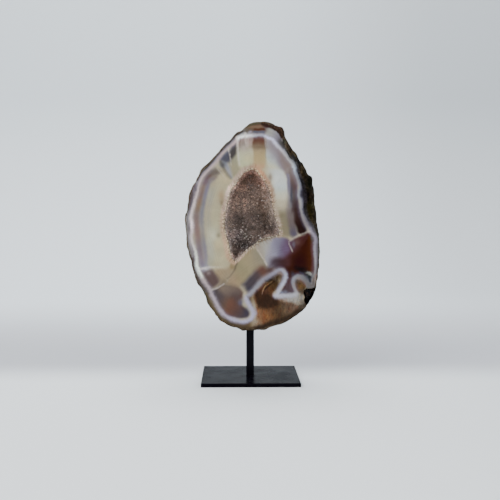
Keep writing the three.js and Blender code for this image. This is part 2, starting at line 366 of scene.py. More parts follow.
# Middle of the white band that parts the clear agate from the rind zone: x, z and how far it reaches inwards
# and outwards until half its strength is gone
whiteBand = [
    (0, 251.7, 2.3, 3), (5, 251.9, 2.2, 2.6), (10, 252.4, 2.2, 2.3), (14, 251.6, 2.1, 2.1),
    (17.9, 249.2, 1.9, 2.1),
    (21.7, 248, 2.2, 2.2), (24.5, 244.6, 2.2, 2.5), (27.5, 241, 2.1, 2.9), (31.5, 237, 2.2, 2.9),
    (35.2, 232.4, 1.9, 2.5),
    (38.7, 226.9, 1.7, 2.5), (42.2, 223.5, 2, 2.8), (44.2, 218.8, 1.9, 2.8), (45.1, 213.9, 1.7, 2.5),
    (47.8, 207.9, 1.5, 2.2),
    (49.7, 199.9, 1.5, 2.1), (48.8, 195, 1.5, 2.2), (49.1, 189.9, 1.7, 2.3), (50.9, 186.5, 2, 2.2),
    (51.3, 180, 1.9, 2.1),
    (51.8, 174.9, 1.9, 2), (53.8, 168.9, 1.9, 2.4), (56.7, 162.3, 2.1, 2.8), (59.4, 158.5, 2.3, 2.8),
    (62.1, 154.4, 2.3, 2.4),
    (64.6, 150.9, 2.3, 2.1), (66.2, 146, 2.1, 2.1), (65.4, 140, 1.9, 2.1), (65.8, 132, 1.9, 1.7),
    (66.4, 124, 1.9, 1.3),
    (66.2, 116, 1.7, 1.1), (65.1, 110.1, 1.6, 1.3), (64.3, 105.1, 1.9, 1.6), (63.5, 100, 2.1, 1.9),
    (59, 101.2, 2.1, 2.6),
    (55.4, 105.8, 2, 2.9), (51.6, 108.7, 2.3, 2.8), (48.2, 109.2, 2.4, 2.4), (44.9, 107.4, 2.1, 2.2),
    (43.1, 103, 1.8, 2.1),
    (44, 99.1, 1.8, 1.9), (46, 94.3, 2.2, 1.9), (46.4, 90.9, 2.8, 2.5), (42.1, 89.4, 2.8, 3.1),
    (35, 89.3, 2.8, 3.1),
    (26, 89, 2.6, 3), (28.1, 91.3, 1.9, 3.2), (29.3, 94.9, 1.9, 3.3), (31.9, 99.3, 2.3, 3.4),
    (34.9, 104.3, 2.2, 3.5),
    (36.1, 109.5, 2.2, 3.2), (34.1, 113.8, 2.1, 2.8), (30.8, 115.8, 2, 2.4), (27.6, 114.9, 2, 2.2),
    (23.6, 112.1, 2, 2.4),
    (18.4, 109.3, 1.7, 2.9), (12.5, 105.4, 1.8, 2.8), (7.9, 100.2, 2.2, 2.4), (3.7, 95.5, 2.4, 2.7),
    (-0.8, 90.8, 2.4, 3.1),
    (-4.3, 88.4, 2.4, 2.9), (-3.6, 83.9, 2.8, 3), (-1.2, 79.5, 3.1, 3.3), (1.9, 74.5, 3, 3.6),
    (2.7, 71.1, 2.9, 3.6),
    (1.6, 66.9, 2.8, 3), (-2.8, 63.4, 2.6, 2.6), (-8, 62.6, 2.4, 2.7), (-14.1, 63.6, 2.4, 2.9),
    (-20.1, 65.8, 2.4, 2.9),
    (-25.2, 68.8, 2.2, 3), (-29.8, 73.2, 2.2, 2.8), (-32.9, 77.8, 2.5, 2.6), (-36, 83.7, 2.7, 2.6),
    (-39.3, 89.8, 2.4, 2.6),
    (-41.9, 96.6, 2.1, 2.6), (-45.9, 102.1, 2.1, 2.8), (-49.3, 107.9, 2.1, 2.7), (-51.8, 113.9, 1.7, 2.9),
    (-54.2, 120, 1.6, 3.1),
    (-54.7, 126, 1.8, 2.3), (-55.5, 132, 1.8, 1.8), (-57.3, 137.9, 1.9, 1.5), (-59.4, 143.8, 2.1, 1),
    (-60.3, 150, 2.2, 1.1),
    (-59.6, 156, 2.4, 1.4), (-59.8, 161.9, 2.5, 1.5), (-60.9, 168, 2.4, 1.3), (-60.1, 173.9, 2.4, 1.3),
    (-58.5, 179.9, 2.3, 1.5),
    (-56.7, 185.8, 1.9, 1.9), (-54.2, 192.6, 1.3, 2.2), (-52.6, 199.7, 1.3, 1.7), (-50.2, 207.8, 1.7, 1.7),
    (-46.7, 212.3, 1.7, 2.1),
    (-42.7, 216.7, 1.6, 2.2), (-38.3, 221.3, 1.9, 2), (-34.4, 226.1, 2.5, 1.7), (-30.7, 231.2, 2.2, 1.7),
    (-24.9, 237.2, 1.7, 2.1),
    (-19.1, 242.1, 2, 2.2), (-14.9, 245.9, 2.8, 2.3), (-12.1, 249.2, 2.8, 2.3), (-8, 250.6, 2.1, 2.7),
    (-3, 251.3, 2.1, 3.1),
]

faceRadius, girthRadius, hollowRadius = (radiusRound(edge) for edge in (faceEdge, girthEdge, hollowEdge))
bandCurve = smoothPath(whiteBand)
bandLine, bandReach = bandCurve[:, :2], bandCurve[:, 2:]


# The stone: one skin from the hollow's floor, out over the polished face and round the rough back

stone = {
    "around": 600,        # points in each ring; all rings together stay under 200,000 triangles
    "hollowRings": 6,
    "faceRings": 86,
    "rindRings": 73,
    "hollowDepth": 20.0,
    "floorDeepen": 2.0,        # the stone's wall lies this far behind the crystals' feet
    "wallFullness": 3.0,
    "girthDepth": 12.0,
    "thickness": 52.0,
    "domeFullness": 2.4,
    "backPole": (3.0, 158.0),
    "seat": (8.0, 9.0, 55.5),        # half width, half depth and height of the ground flat
    "roughness": 0.8,        # the fine relief of the rind, in millimetres
    "ragged": (0.55, 0.3),        # how far the hollow's mouth wanders, coarse and fine
    "chipped": 0.3,        # and the edge of the face
    "vug": [(54.4, 95.6), (58, 96.8), (62, 96.4), (67.5, 98.5), (67, 92), (63.2, 86), (59, 79.4), (56.2, 80), (54.6, 84.5),
            (55, 88.5), (53.8, 92)],
    "vugDepth": 6.5,
}


def knobs(x, y, z, calm):
    # root of the size of a product of two bent sines, once wide and once small, so creases part round knobs
    wide = np.sin(x / 13 + 1.1 * np.sin(z / 21) + 0.4) * np.sin(z / 15 + 0.9 * np.sin(y / 9))
    small = np.sin(x / 7 - z / 11 + 0.8) * np.sin(z / 6.5 + y / 8 + 0.7 * np.sin(x / 9))
    return 2.6 * np.sqrt(np.abs(wide)) + 1.5 * np.sqrt(np.abs(small)) * (1 - calm) - 2.4


def broadRadius(angle):
    # the girth's radius averaged over nearby angles
    turns = (-0.6, -0.4, -0.2, 0, 0.2, 0.4, 0.6)
    return sum(girthRadius(angle + turn) for turn in turns) / len(turns)


def hollowSurface(angle, turn):
    # radius = edge (1 - sin^n turn)^(1/n), depth = (hollow's depth + deepening) sin turn
    n = stone["wallFullness"]
    radius = hollowRadius(angle) * np.maximum(1 - np.sin(turn) ** n, 0) ** (1 / n)
    return roundHeart(angle, radius, faceY + (stone["hollowDepth"] + stone["floorDeepen"]) * np.sin(turn) + 0 * radius)


def edgeNoise(angle, radius, size, seed):
    # noise read along a circle of this radius, so that it closes on itself
    return valueNoise(np.stack([radius * np.cos(angle), radius * np.sin(angle), 0 * angle], -1), size, seed)


def skinSurface(angle, depth):
    # depth 0 is the face's edge, 1 the girth, 2 the middle of the back. In front the radius grows with
    # sin(turn) while y goes back with 1 - cos(turn); behind, radius = girth (1 - sin^n)^(1/n), y = sin.
    angle, depth = np.broadcast_arrays(angle, depth)
    front = depth <= 1
    turn = np.where(front, depth, depth - 1) * math.pi / 2
    back = np.where(front, 0, np.sin(turn))
    broad = smoothStep(0.3, 0.95, back)
    girth = girthRadius(angle) * (1 - broad) + broadRadius(angle) * broad
    edge = faceRadius(angle)
    shrink = np.maximum(1 - back ** stone["domeFullness"], 0) ** (1 / stone["domeFullness"])
    radius = np.where(front, edge + (girth - edge) * np.sin(turn), girth * shrink)
    frontY = faceY + stone["girthDepth"] * (1 - np.cos(turn))
    y = np.where(front, frontY, faceY + stone["girthDepth"] + (stone["thickness"] - stone["girthDepth"]) * back)
    middle = heart + (np.array(stone["backPole"]) - heart) * (back ** 2)[..., None]
    x = middle[..., 0] + radius * np.cos(angle)
    z = middle[..., 1] + radius * np.sin(angle)
    level = np.sqrt(1 - back ** 2)
    outward = np.stack([level * np.cos(angle), back, level * np.sin(angle)], -1)
    rise = knobs(x, y, z, broad) * smoothStep(faceY + 3, faceY + 22, y)
    smooth = np.stack([x, y, z], -1)
    flat = smooth.reshape(-1, 3)
    fine = (valueNoise(flat, 5.5, 1) + 0.55 * valueNoise(flat, 2.6, 2)).reshape(x.shape)
    pits = smoothStep(0.25, 0.75, valueNoise(flat, 4.2, 3)).reshape(x.shape)
    edgeFade = smoothStep(-0.4, 2.5, y - faceY)
    rise = rise + edgeFade * stone["roughness"] * (fine - 1.3 * pits)
    return smooth + outward * rise[..., None]


def makeStone():
    # rings from the hollow's floor out to its mouth, across the face and round the back
    around = stone["around"]
    angle = np.linspace(0, 2 * math.pi, around, endpoint=False)[None, :]
    wallTurn = np.linspace(0, 1, stone["hollowRings"], endpoint=False)[::-1, None] * math.pi / 2
    wall = hollowSurface(angle, wallTurn)
    coarse, fine = stone["ragged"]
    inner = hollowRadius(angle) + (coarse * edgeNoise(angle[0], 30, 1.9, 4) + fine * edgeNoise(angle[0], 30, 0.8, 9))
    wall[-1] = roundHeart(angle[0], inner[0], wall[-1, :, 1])
    outer = faceRadius(angle) + stone["chipped"] * edgeNoise(angle[0], 80, 2.3, 5)
    share = np.linspace(0, 1, stone["faceRings"] + 1)[1:, None]
    radius = inner + (outer - inner) * share
    flat = roundHeart(angle, radius, np.full_like(radius, faceY))
    depth = 2 * np.linspace(0, 1, stone["rindRings"] + 1)[1:-1, None] ** 1.25
    rind = skinSurface(angle, depth)
    first = flat.shape[0]
    points = np.concatenate([wall, flat, rind]).reshape(-1, 3)
    rows = len(points) // around
    floor = hollowSurface(np.zeros(1), np.full(1, math.pi / 2))
    backTip = skinSurface(np.zeros(1), np.full(1, 2.0))
    points = np.vstack([points, floor, backTip])

    # the vug breaks into the face near its edge, and the seat is ground flat underneath
    broken = signedDistance(points[:, [0, 2]], smoothPath(stone["vug"], True, 4))
    pocket = smoothStep(-0.1, 2.4, -broken - 0.5 * valueNoise(points, 2.4, 6) - 0.3 * valueNoise(points, 1.1, 8))
    bottom = faceY + stone["vugDepth"] * pocket * (1 + 0.25 * valueNoise(points, 1.6, 7))
    points[:, 1] = np.where(pocket > 0, np.maximum(points[:, 1], bottom), points[:, 1])
    halfSeat, deepSeat, seatHeight = stone["seat"]
    onSeat = (np.abs(points[:, 0]) < halfSeat) & (np.abs(points[:, 1]) < deepSeat)
    points[:, 2] = np.where(onSeat, np.maximum(points[:, 2], seatHeight), points[:, 2])

    quads, fans = closedFaces(rows, around, rows * around, True)
    piece = buildMesh("agate_geode", points, quads, fans)

    # which material each face takes: 0 the polished face, 1 the rind, 2 the hollow's wall
    row = np.arange(len(quads)) // around
    wallRows = stone["hollowRings"] - 1
    slot = np.where(row < wallRows, 2, np.where(row < wallRows + first, 0, 1))
    slot = np.concatenate([slot, np.full(around, 2), np.full(around, 1)])
    piece.data.polygons.foreach_set("material_index", slot.astype(np.int32))
    ends = np.zeros(len(piece.data.edges) * 2, np.int32)
    piece.data.edges.foreach_get("vertices", ends)
    ringOf = ends.reshape(-1, 2) // around
    sharp = (ringOf[:, 0] == ringOf[:, 1]) & np.isin(ringOf[:, 0], (wallRows, wallRows + first))
    sharpEdges = piece.data.attributes.new("sharp_edge", "BOOLEAN", "EDGE")
    sharpEdges.data.foreach_set("value", sharp)
    return piece, points, pocket


geode, stonePoints, vugDepths = makeStone()
print("stone shaped:", len(stonePoints), "points")


# Colours of the stone, as seen, painted from the broad zones down to single patches.
# A patch is a closed outline of one colour, or of colours that change along a line through it, as x, z, red,
# green, blue; a stroke is a line with half its width, a spot has its two half widths.

patches = [
    ((184, 181, 168), 7, [(21, 202), (30, 202), (39, 197), (40, 184), (37, 171), (28, 170), (23, 184)]),
    ((186, 189, 189), 7, [(18, 219), (27, 223), (35, 219), (39, 212), (41, 203), (40.5, 195), (31, 193),
                          (22, 196),
                          (19.5, 206)]),
    ([(18, 224, 186, 186, 174), (22, 228, 174, 175, 172), (27, 231, 150, 142, 146),
      (33, 233, 142, 126, 120),
      (38, 236, 138, 118, 108)], 2,
     [(15.5, 249), (22, 246), (30, 238), (38, 228), (43, 221), (44, 214), (38, 213), (33, 217), (27, 219),
      (20, 220), (16, 228)]),
    ((160, 155, 132), 2, [(-20, 228), (-14, 233), (-12, 222), (-10, 216), (-16, 210), (-20, 214),
                          (-22, 220)]),
    ((164, 156, 138), 5, [(24, 182), (33, 184), (40, 180), (41, 172), (33, 168), (25, 172)]),
    ((138, 130, 107), 4.5, [(28, 173), (33, 175), (40, 172), (43, 166), (43, 158), (42, 150), (33, 150),
                          (29, 158), (27, 167)]),
    ([(-21, 110, 160, 143, 116), (-12, 115, 155, 144, 113), (-3, 122, 159, 149, 119),
      (5, 124, 151, 142, 120),
      (13, 127, 146, 141, 124)], 2,
     [(-20, 121), (-10, 127), (0, 137), (6, 136), (13, 126), (18, 118), (10, 117), (2, 112),
                          (-8, 102), (-12, 98), (-24, 100), (-22, 108), (-17, 115)]),
    ((160, 146, 120), 2.5, [(-34, 116), (-22, 117), (-18, 113), (-23, 107), (-27, 102), (-33, 105),
                            (-36, 111)]),
    ((100, 81, 79), 3.0, [(-50, 115.5), (-40, 115.5), (-36.5, 112), (-32.5, 105), (-33, 101), (-40, 97),
                          (-43.5, 99.5), (-47, 107)]),
    ([(-37, 93, 86, 76, 79), (-31, 85, 92, 78, 78), (-26, 82, 104, 82, 72), (-21, 80, 112, 78, 64),
      (-14, 76, 98, 72, 66),
      (-6, 70, 80, 68, 74)], 1.8,
     [(-40, 95), (-34, 97), (-28, 101), (-20, 99), (-12, 97), (-8, 93), (-8, 88), (-12, 84), (-9, 79),
      (-4, 76), (-1, 72),
      (-3, 67), (-10, 65.5), (-20, 67.5), (-27, 72), (-32, 78), (-36, 86)]),
    ([(-22, 99, 130, 114, 100), (-19, 93, 114, 98, 90), (-17, 87, 98, 80, 76)], 3.4,
     [(-33, 98), (-26, 101), (-12, 98), (-8, 93), (-13, 87), (-24, 88)]),
    ([(-5, 97, 84, 76, 82), (2, 102, 78, 68, 74), (8, 108, 88, 72, 74), (13, 113, 106, 74, 64),
      (20, 117, 94, 70, 66),
      (26, 121, 84, 64, 68)], 3.6,
     [(-8, 102), (-6, 99), (-3.5, 96), (-1.5, 93), (1, 94), (4, 98), (8, 103), (13, 108),
                         (19, 112), (24, 115.5), (28, 118), (27, 122), (22, 120.5), (17, 118.5), (12, 120),
                         (8, 117), (4, 113.5), (0, 110), (-4, 106)]),
    ([(8, 137, 162, 154, 144), (15, 138, 166, 164, 158), (22, 136.5, 152, 149, 160),
      (28, 137.5, 136, 131, 148),
      (33, 137, 118, 104, 126), (38, 136, 100, 70, 88), (43, 134, 78, 42, 42), (48, 130, 60, 26, 16),
      (55, 128, 64, 27, 12),
      (62, 128, 80, 38, 16)], 1.8,
     [(4, 141), (14, 146), (22, 148.5), (29, 149.5), (36, 148), (40, 145), (46, 147), (50, 149.5),
      (55, 152), (59, 154),
      (64, 151), (66, 146), (65, 140), (65.5, 130), (66.3, 120), (66, 112), (63, 102), (60, 103),
      (56, 106.5), (52, 109.5),
      (48, 110.5), (43, 108), (42.5, 103), (44, 96), (45, 91.5), (31, 91), (33, 98), (37, 105),
      (37.5, 111), (35, 117),
      (30, 119), (25, 119), (20, 118.5), (16, 122), (10, 131)]),
    ([(20, 121, 104, 92, 102), (26, 122.5, 78, 60, 68), (32, 123, 70, 44, 46), (38, 125, 78, 44, 44),
      (44, 128, 66, 30, 24)], 3.4,
     [(18, 119), (24, 117), (36, 118), (42, 121), (42, 129), (35, 128.5), (27, 128), (21, 125.5)]),
    ((84, 65, 69), 1.5, [(30, 91), (44, 91.5), (42, 97), (41.5, 103), (42, 107), (39.5, 108), (37.5, 104),
                         (35, 98), (31.5, 94)]),
    ([(8, 251, 110, 76, 66), (8, 246, 112, 78, 64), (8, 242, 132, 110, 90), (8, 237, 164, 150, 120),
      (8, 228, 174, 163, 130),
      (8, 221, 182, 163, 136)], 1.8, [(2.5, 252), (14.2, 252), (14.8, 222), (10, 218.5), (3.5, 221)]),
    ([(-5, 249, 162, 142, 134), (-5, 243, 174, 160, 148), (-5, 235, 182, 178, 160),
      (-5, 226, 181, 180, 158)], 1.6,
     [(-12, 250), (1.5, 251), (2.5, 240), (2, 222), (-6, 220), (-11, 222), (-13, 236)]),
    ((154, 156, 166), 2.8, [(-29, 225), (-24, 225.5), (-19.5, 213), (-18.5, 209), (-21.5, 211.5),
                            (-26, 219)]),
    ((90, 88, 99), 2.2, [(-32, 227.5), (-27.5, 232.5), (-23, 237), (-20.6, 236), (-19.8, 226.5),
                         (-25, 224.5)]),
    ((84, 77, 75), 1.8, [(-20.8, 237), (-15.6, 244.5), (-14.3, 244), (-13.8, 234), (-18, 228.5),
                         (-20.5, 229)]),
    ([(2, 62, 150, 136, 114), (7, 67, 144, 110, 80), (13, 69, 128, 90, 60), (21, 71, 108, 76, 51),
      (28, 72, 86, 64, 44),
      (35, 74, 98, 78, 58), (43, 77, 112, 90, 74), (50, 80, 106, 90, 76), (57, 82, 62, 50, 42)], 2,
     [(4, 56), (5, 66), (6, 78), (3, 88), (8, 97), (20, 108), (30, 114), (34, 110), (30, 101), (24, 93),
      (24, 88), (36, 84),
      (46, 82), (56, 78), (46, 69), (38, 64), (22, 58)]),
    ([(8, 92, 78, 46, 34), (14, 96, 86, 54, 38), (20, 100, 84, 58, 34), (26, 105, 70, 56, 32),
      (30, 110, 84, 74, 54)], 3,
     [(5, 90), (9, 98), (20, 108), (30, 113), (33, 110), (29, 102), (23, 94), (14, 90)]),
    ((112, 110, 104), 2, [(53, 111), (60, 113), (65, 110), (66, 99), (61, 95), (56, 97), (54, 103)]),
    ([(47.5, 105, 78, 72, 60), (49, 102, 84, 60, 36), (52, 98.5, 106, 80, 48), (55, 94.5, 80, 64, 42)],
     1.4, [(45.5, 106), (50, 107), (54.5, 104), (56.5, 98), (54.5, 93), (50, 92), (46.5, 97)]),
    ((58, 38, 26), 3, [(5, 90), (8, 94), (17, 92), (22, 88), (28, 85), (30, 80), (24, 76), (14, 76),
                       (8, 78), (5, 84)]),
    ((158, 156, 151), 2.4, [(28, 88.5), (36, 90), (46, 91), (54, 90), (53, 84), (45, 81.5), (36, 83),
                            (30, 86)]),
]

# A ribbon is a line whose colour changes along it: half width, softness, and x, z, red, green, blue on the way

ribbons = [
    # the right flank's warm haze, dark band and lavender edge, from the top down
    (2.6, 2.2, [(39, 217, 150, 142, 138), (41, 207, 148, 140, 142), (41.4, 196, 138, 132, 136),
                (41, 186, 132, 126, 126)]),
    (3.8, 2.8, [(41, 190, 132, 126, 126), (40.4, 180, 132, 122, 120), (40.6, 172, 124, 111, 108),
                (42.5, 162, 112, 99, 100), (44, 153, 98, 90, 104)]),
    (4.0, 1.8, [(42, 216, 136, 122, 118), (43.8, 207, 116, 98, 94), (44, 200, 98, 78, 78),
                (44.3, 190, 76, 62, 65),
                (45.2, 182, 70, 52, 54), (46.5, 174, 64, 43, 42)]),
    (4.4, 1.8, [(46.5, 174, 64, 43, 42), (48.2, 167, 55, 34, 31), (50.8, 161, 44, 26, 24),
                (52.5, 156, 38, 23, 21)]),
    (0.8, 2.0, [(37.8, 212, 138, 132, 144), (38.8, 204, 130, 124, 140), (39.2, 195, 126, 121, 138),
                (39.6, 187, 122, 116, 128),
                (40.2, 180, 118, 112, 120)]),
    # the left flank, from the band inwards
    (3.4, 3.0, [(-48, 117, 142, 136, 146), (-50, 126, 142, 130, 138), (-51.5, 136, 134, 120, 124),
                (-53, 148, 140, 120, 116),
                (-54.5, 160, 140, 118, 112), (-54.5, 172, 136, 118, 112), (-52.5, 182, 142, 121, 100),
                (-50, 191, 134, 112, 104),
                (-48, 199, 138, 118, 104), (-45.5, 205, 124, 104, 110), (-41.5, 211, 116, 96, 90),
                (-36, 215, 120, 110, 101)]),
    (1.6, 3.2, [(-44, 119, 150, 146, 154), (-45, 130, 142, 135, 144), (-47, 142, 138, 132, 136),
                (-48.6, 156, 146, 141, 138),
                (-49.5, 167, 138, 134, 138), (-48.4, 178, 132, 130, 137), (-46, 189, 134, 130, 141),
                (-44, 198, 134, 126, 140),
                (-40.5, 205, 132, 122, 128), (-36, 210, 140, 128, 118)]),
    (3.2, 3.0, [(-40.5, 122, 170, 167, 150), (-40.5, 140, 172, 170, 158), (-43, 160, 168, 165, 150),
                (-43, 175, 168, 163, 148),
                (-40.5, 190, 165, 162, 150), (-37.5, 202, 170, 163, 142)]),
    # crystal rim round the hollow
    (2.3, 1.8, [(-17, 122.5, 180, 160, 136), (-21.5, 127, 178, 160, 138), (-24, 135, 186, 172, 154),
                (-25.5, 144, 186, 170, 150),
                (-28, 153, 176, 158, 136), (-29, 162, 180, 164, 146), (-28, 173, 186, 171, 156),
                (-26, 184, 188, 176, 164),
                (-24, 192, 190, 182, 172), (-21.5, 198, 192, 184, 172), (-16.5, 205, 184, 174, 164),
                (-11, 213, 178, 166, 154),
                (-6, 217.5, 180, 166, 154), (1, 220, 176, 158, 138), (6, 218.5, 182, 158, 134),
                (10.5, 215, 186, 160, 132),
                (15.5, 208, 176, 153, 132), (20, 199, 170, 150, 132), (22.5, 190, 174, 160, 146),
                (24, 180, 170, 158, 144),
                (26.5, 171, 172, 160, 146), (29.5, 161.5, 172, 158, 148)]),
    (1.9, 1.2, [(-27, 177, 176, 160, 150), (-26.5, 184, 190, 176, 165), (-24, 191.5, 194, 183, 175),
                (-20.5, 199.5, 206, 195, 185),
                (-14.5, 206, 178, 167, 157), (-8, 214, 190, 177, 166)]),
    (1.2, 1.1, [(31.5, 155, 174, 160, 152), (31, 151, 172, 160, 150), (27, 149.8, 158, 148, 138),
                (18, 147.6, 122, 113, 104),
                (10, 145, 110, 98, 88), (3, 140.5, 136, 124, 117), (-3, 135.5, 176, 165, 158),
                (-6, 133, 182, 170, 162), (-11, 126.8, 188, 172, 162),
                (-15, 122.6, 184, 166, 150)]),
    # golden fibres in the longer finger
    (0.45, 0.5, [(12.5, 94, 150, 112, 88), (14.5, 98, 168, 140, 100), (18, 101, 160, 128, 84),
                 (23, 103.8, 120, 90, 50)]),
    (0.4, 0.5, [(12, 91, 140, 112, 96), (12.6, 95, 150, 120, 86), (15.5, 100, 150, 126, 90)]),
    (0.4, 0.5, [(16, 102.5, 146, 122, 84), (20, 102.8, 140, 112, 74), (24, 104.5, 120, 90, 50)]),
    (0.6, 0.7, [(14.5, 95.5, 50, 32, 22), (17, 98.5, 42, 26, 14), (21, 101.5, 44, 30, 10),
                (25, 104, 50, 32, 12)]),
    (0.9, 1.0, [(16, 104.6, 60, 58, 44), (21, 105.2, 50, 42, 22), (24, 106.5, 54, 40, 22)]),
]

# What lies between the white band and the edge of the face, clockwise from the top
outerRibbon = [
    (9, 259, 112, 82, 66), (15, 258, 124, 110, 108), (19, 256, 165, 165, 160), (27, 249.5, 140, 134, 144),
    (30.5, 245, 92, 88, 86), (35, 238.5, 70, 66, 62), (47, 221, 68, 66, 66), (53.5, 191, 40, 36, 40),
    (66, 154, 84, 79, 79), (66, 106, 134, 116, 106), (62, 94, 104, 90, 82), (54, 79.5, 58, 44, 36),
    (38, 66.5, 54, 39, 29), (22, 60.5, 74, 54, 35), (6, 57, 116, 96, 66), (-9, 57.5, 96, 78, 54),
    (-41.6, 83.5, 118, 104, 80), (-46, 96, 100, 90, 84), (-58.2, 128, 124, 116, 116),
    (-62.5, 148, 176, 169, 167),
    (-63.6, 168, 168, 163, 161), (-61, 180, 114, 108, 110), (-57.5, 196, 110, 102, 106),
    (-51, 208.5, 142, 138, 142),
    (-12, 251.5, 140, 136, 138), (-5, 257.5, 110, 102, 92),
]

# Thin strokes of one colour on top: the worn rim and a few streaks

strokes = [
    ((92, 96, 112), 1.0, 1.0, [(3.5, 255.3), (13.3, 255.3)]),
    ((92, 54, 40), 1.1, 0.9, [(4.5, 258), (13.5, 258)]),
    ((130, 106, 86), 1.3, 1.2, [(-2, 260.3), (12, 260.8)]),
    ((82, 80, 62), 0.9, 0.8, [(-4, 260.5), (2, 263), (9, 264.2), (15, 263)]),
    ((74, 68, 64), 0.9, 0.8, [(-8, 256), (-17, 249), (-24, 242), (-30.5, 235), (-37.5, 227), (-43.5, 220),
                              (-49.5, 214.5), (-53.5, 207)]),
    ((96, 82, 80), 1.8, 1.6, [(-57, 202), (-59.5, 192), (-61, 184), (-61.8, 178)]),
    ((122, 118, 114), 0.8, 0.9, [(-62.8, 177), (-64.5, 168), (-64, 154), (-62.3, 140), (-60, 131)]),
    ((86, 74, 67), 1.3, 1.0, [(-58.6, 127), (-56.6, 117), (-53.6, 107), (-50.6, 101), (-46.8, 95)]),
    ((94, 79, 57), 1.6, 1.5, [(-44.5, 91), (-43, 84), (-39.5, 77.5), (-35, 71.5), (-29.5, 66),
                              (-23, 62.3)]),
    ((80, 64, 47), 1.4, 1.4, [(-20, 60.5), (-12, 57.6), (-4, 56.2), (6, 56)]),
    ((52, 39, 28), 2.4, 2.2, [(6, 56), (12, 57.4), (17, 59), (23, 61.5), (30, 63.6), (38, 66.4),
                              (46, 71.2), (54, 78)]),
    ((60, 42, 35), 2.6, 1.0, [(13, 264), (17.5, 263.2), (22, 261.2), (26.6, 258.8), (30.6, 255.6),
                              (32.6, 251)]),
    # the broken corner of the carnelian: a dark crack, smoky and pale splinters, and a tan chip
    ((32, 17, 18), 2.0, 1.5, [(46.5, 118.5), (50, 116), (54, 113.2), (57, 111)]),
    ((52, 50, 70), 0.9, 0.8, [(50.5, 113.2), (54, 111.8)]),
    ((26, 28, 26), 0.8, 0.6, [(56, 113), (59, 109.8), (61.5, 107.6)]),
    ((30, 34, 32), 1.0, 0.7, [(57.8, 109.6), (60.4, 105.8), (61.2, 103.5)]),
    ((168, 170, 162), 0.6, 0.4, [(57.6, 113.2), (60, 112.4), (62, 110.8)]),
    ((150, 152, 146), 0.5, 0.4, [(58.8, 111), (60.8, 110)]),
    ((152, 124, 104), 1.1, 0.9, [(66.4, 113), (65.6, 108.6), (64, 104.6)]),
    ((84, 80, 74), 0.8, 0.8, [(67, 112), (68.2, 121), (68.9, 132), (68.9, 142), (67.6, 151), (65, 157)]),
]

spots = [
    # left flank
    ((112, 112, 118), -28, 222.5, 2.4, 2.6), ((188, 185, 184), -46, 117, 4, 1.6),
    ((138, 123, 122), -42.5, 112.5, 2, 2), ((130, 116, 98), -27.5, 102.5, 3, 2.4),
    ((140, 126, 118), -7.5, 242.5, 2.2, 3), ((182, 180, 165), -39, 151, 4.5, 6),
    ((150, 142, 118), -32.5, 151, 1.6, 2), ((167, 151, 123), -29.5, 191, 2.6, 5),
    ((150, 136, 112), -29.5, 184, 1.6, 2.2), ((118, 108, 100), -36.5, 215, 5, 2),
    # second lobe
    ((70, 63, 77), -4.2, 71.5, 1.9, 3), ((104, 98, 118), -10.5, 82.5, 2, 2.6), ((92, 73, 70),
                                                                                -13, 86.5, 2.8, 2.6),
    # middle, below the hollow
    ((148, 130, 96), -19, 118, 2.4, 2.6),
    # dark wedge
    ((66, 62, 74), -1.2, 97, 2.4, 2.2), ((76, 66, 72), 1.6, 102, 3, 3), ((90, 66, 60), 20, 114.6, 2.2, 1.8),
    # lavender zone
    ((112, 91, 119), 36.5, 136.5, 3.2, 4),
    # carnelian
    ((47, 16, 4), 50, 124, 5.5, 5), ((104, 74, 68), 47.5, 144, 2.4, 2.6), ((108, 98, 110),
                                                                           44, 141.5, 1.6, 3),
    ((84, 84, 76), 62.6, 147.5, 1.2, 3), ((24, 14, 14), 52, 116.5, 4.4, 1.8), ((60, 52, 62),
                                                                               43, 111.6, 1.8, 2),
    ((36, 28, 30), 55.5, 113.3, 2.2, 1.4), ((75, 43, 34), 39.6, 103.5, 1.6, 2.6),
    ((128, 137, 158), 31.6, 92.3, 2, 1.2), ((112, 112, 128), 35.6, 93, 1.8, 1.2),
    # right flank
    ((186, 185, 175), 31, 190, 8, 5), ((180, 176, 162), 30, 182, 6, 4), ((120, 108, 106),
                                                                         42.4, 170, 1.8, 6),
    ((84, 84, 96), 41.6, 192, 1.2, 7), ((172, 150, 132), 21.6, 188, 2, 7), ((150, 141, 128),
                                                                            20, 209.5, 1.6, 2.4),
    # top
    ((180, 172, 160), -7, 239.5, 2.2, 3), ((132, 112, 90), 8.5, 240.2, 5, 1.4),
    # outside the band
    ((164, 158, 176), 0, 255.4, 1.6, 1), ((62, 36, 35), 16.4, 260.8, 2.2, 0.9),
    ((112, 101, 98), -62.4, 158, 0.9, 4.5), ((126, 116, 122), -57.4, 196, 1, 5),
    # inclusions, lower right
    ((104, 92, 78), 53, 77.5, 2.4, 2), ((88, 78, 66), 52.5, 92.5, 2, 2.4), ((64, 54, 46), 57, 81.5, 2.6, 2),
    ((118, 108, 98), 52.5, 82.5, 2.4, 2), ((74, 76, 78), 57.5, 107.5, 2.6, 2.2),
    ((152, 113, 69), 17, 68, 2, 2.4), ((128, 99, 70), 31.4, 85.2, 1.6, 1.4), ((165, 155, 136),
                                                                              5, 62, 1.8, 2.6),
    ((66, 51, 28), 28, 108, 1.8, 1.8), ((130, 118, 98), 29.6, 104.4, 1.2, 2), ((24, 26, 24),
                                                                               60, 108, 1.6, 0.6),
    ((34, 38, 36), 60.6, 105.4, 0.8, 1.4), ((150, 152, 146), 58, 112.2, 1.8, 0.6),
]

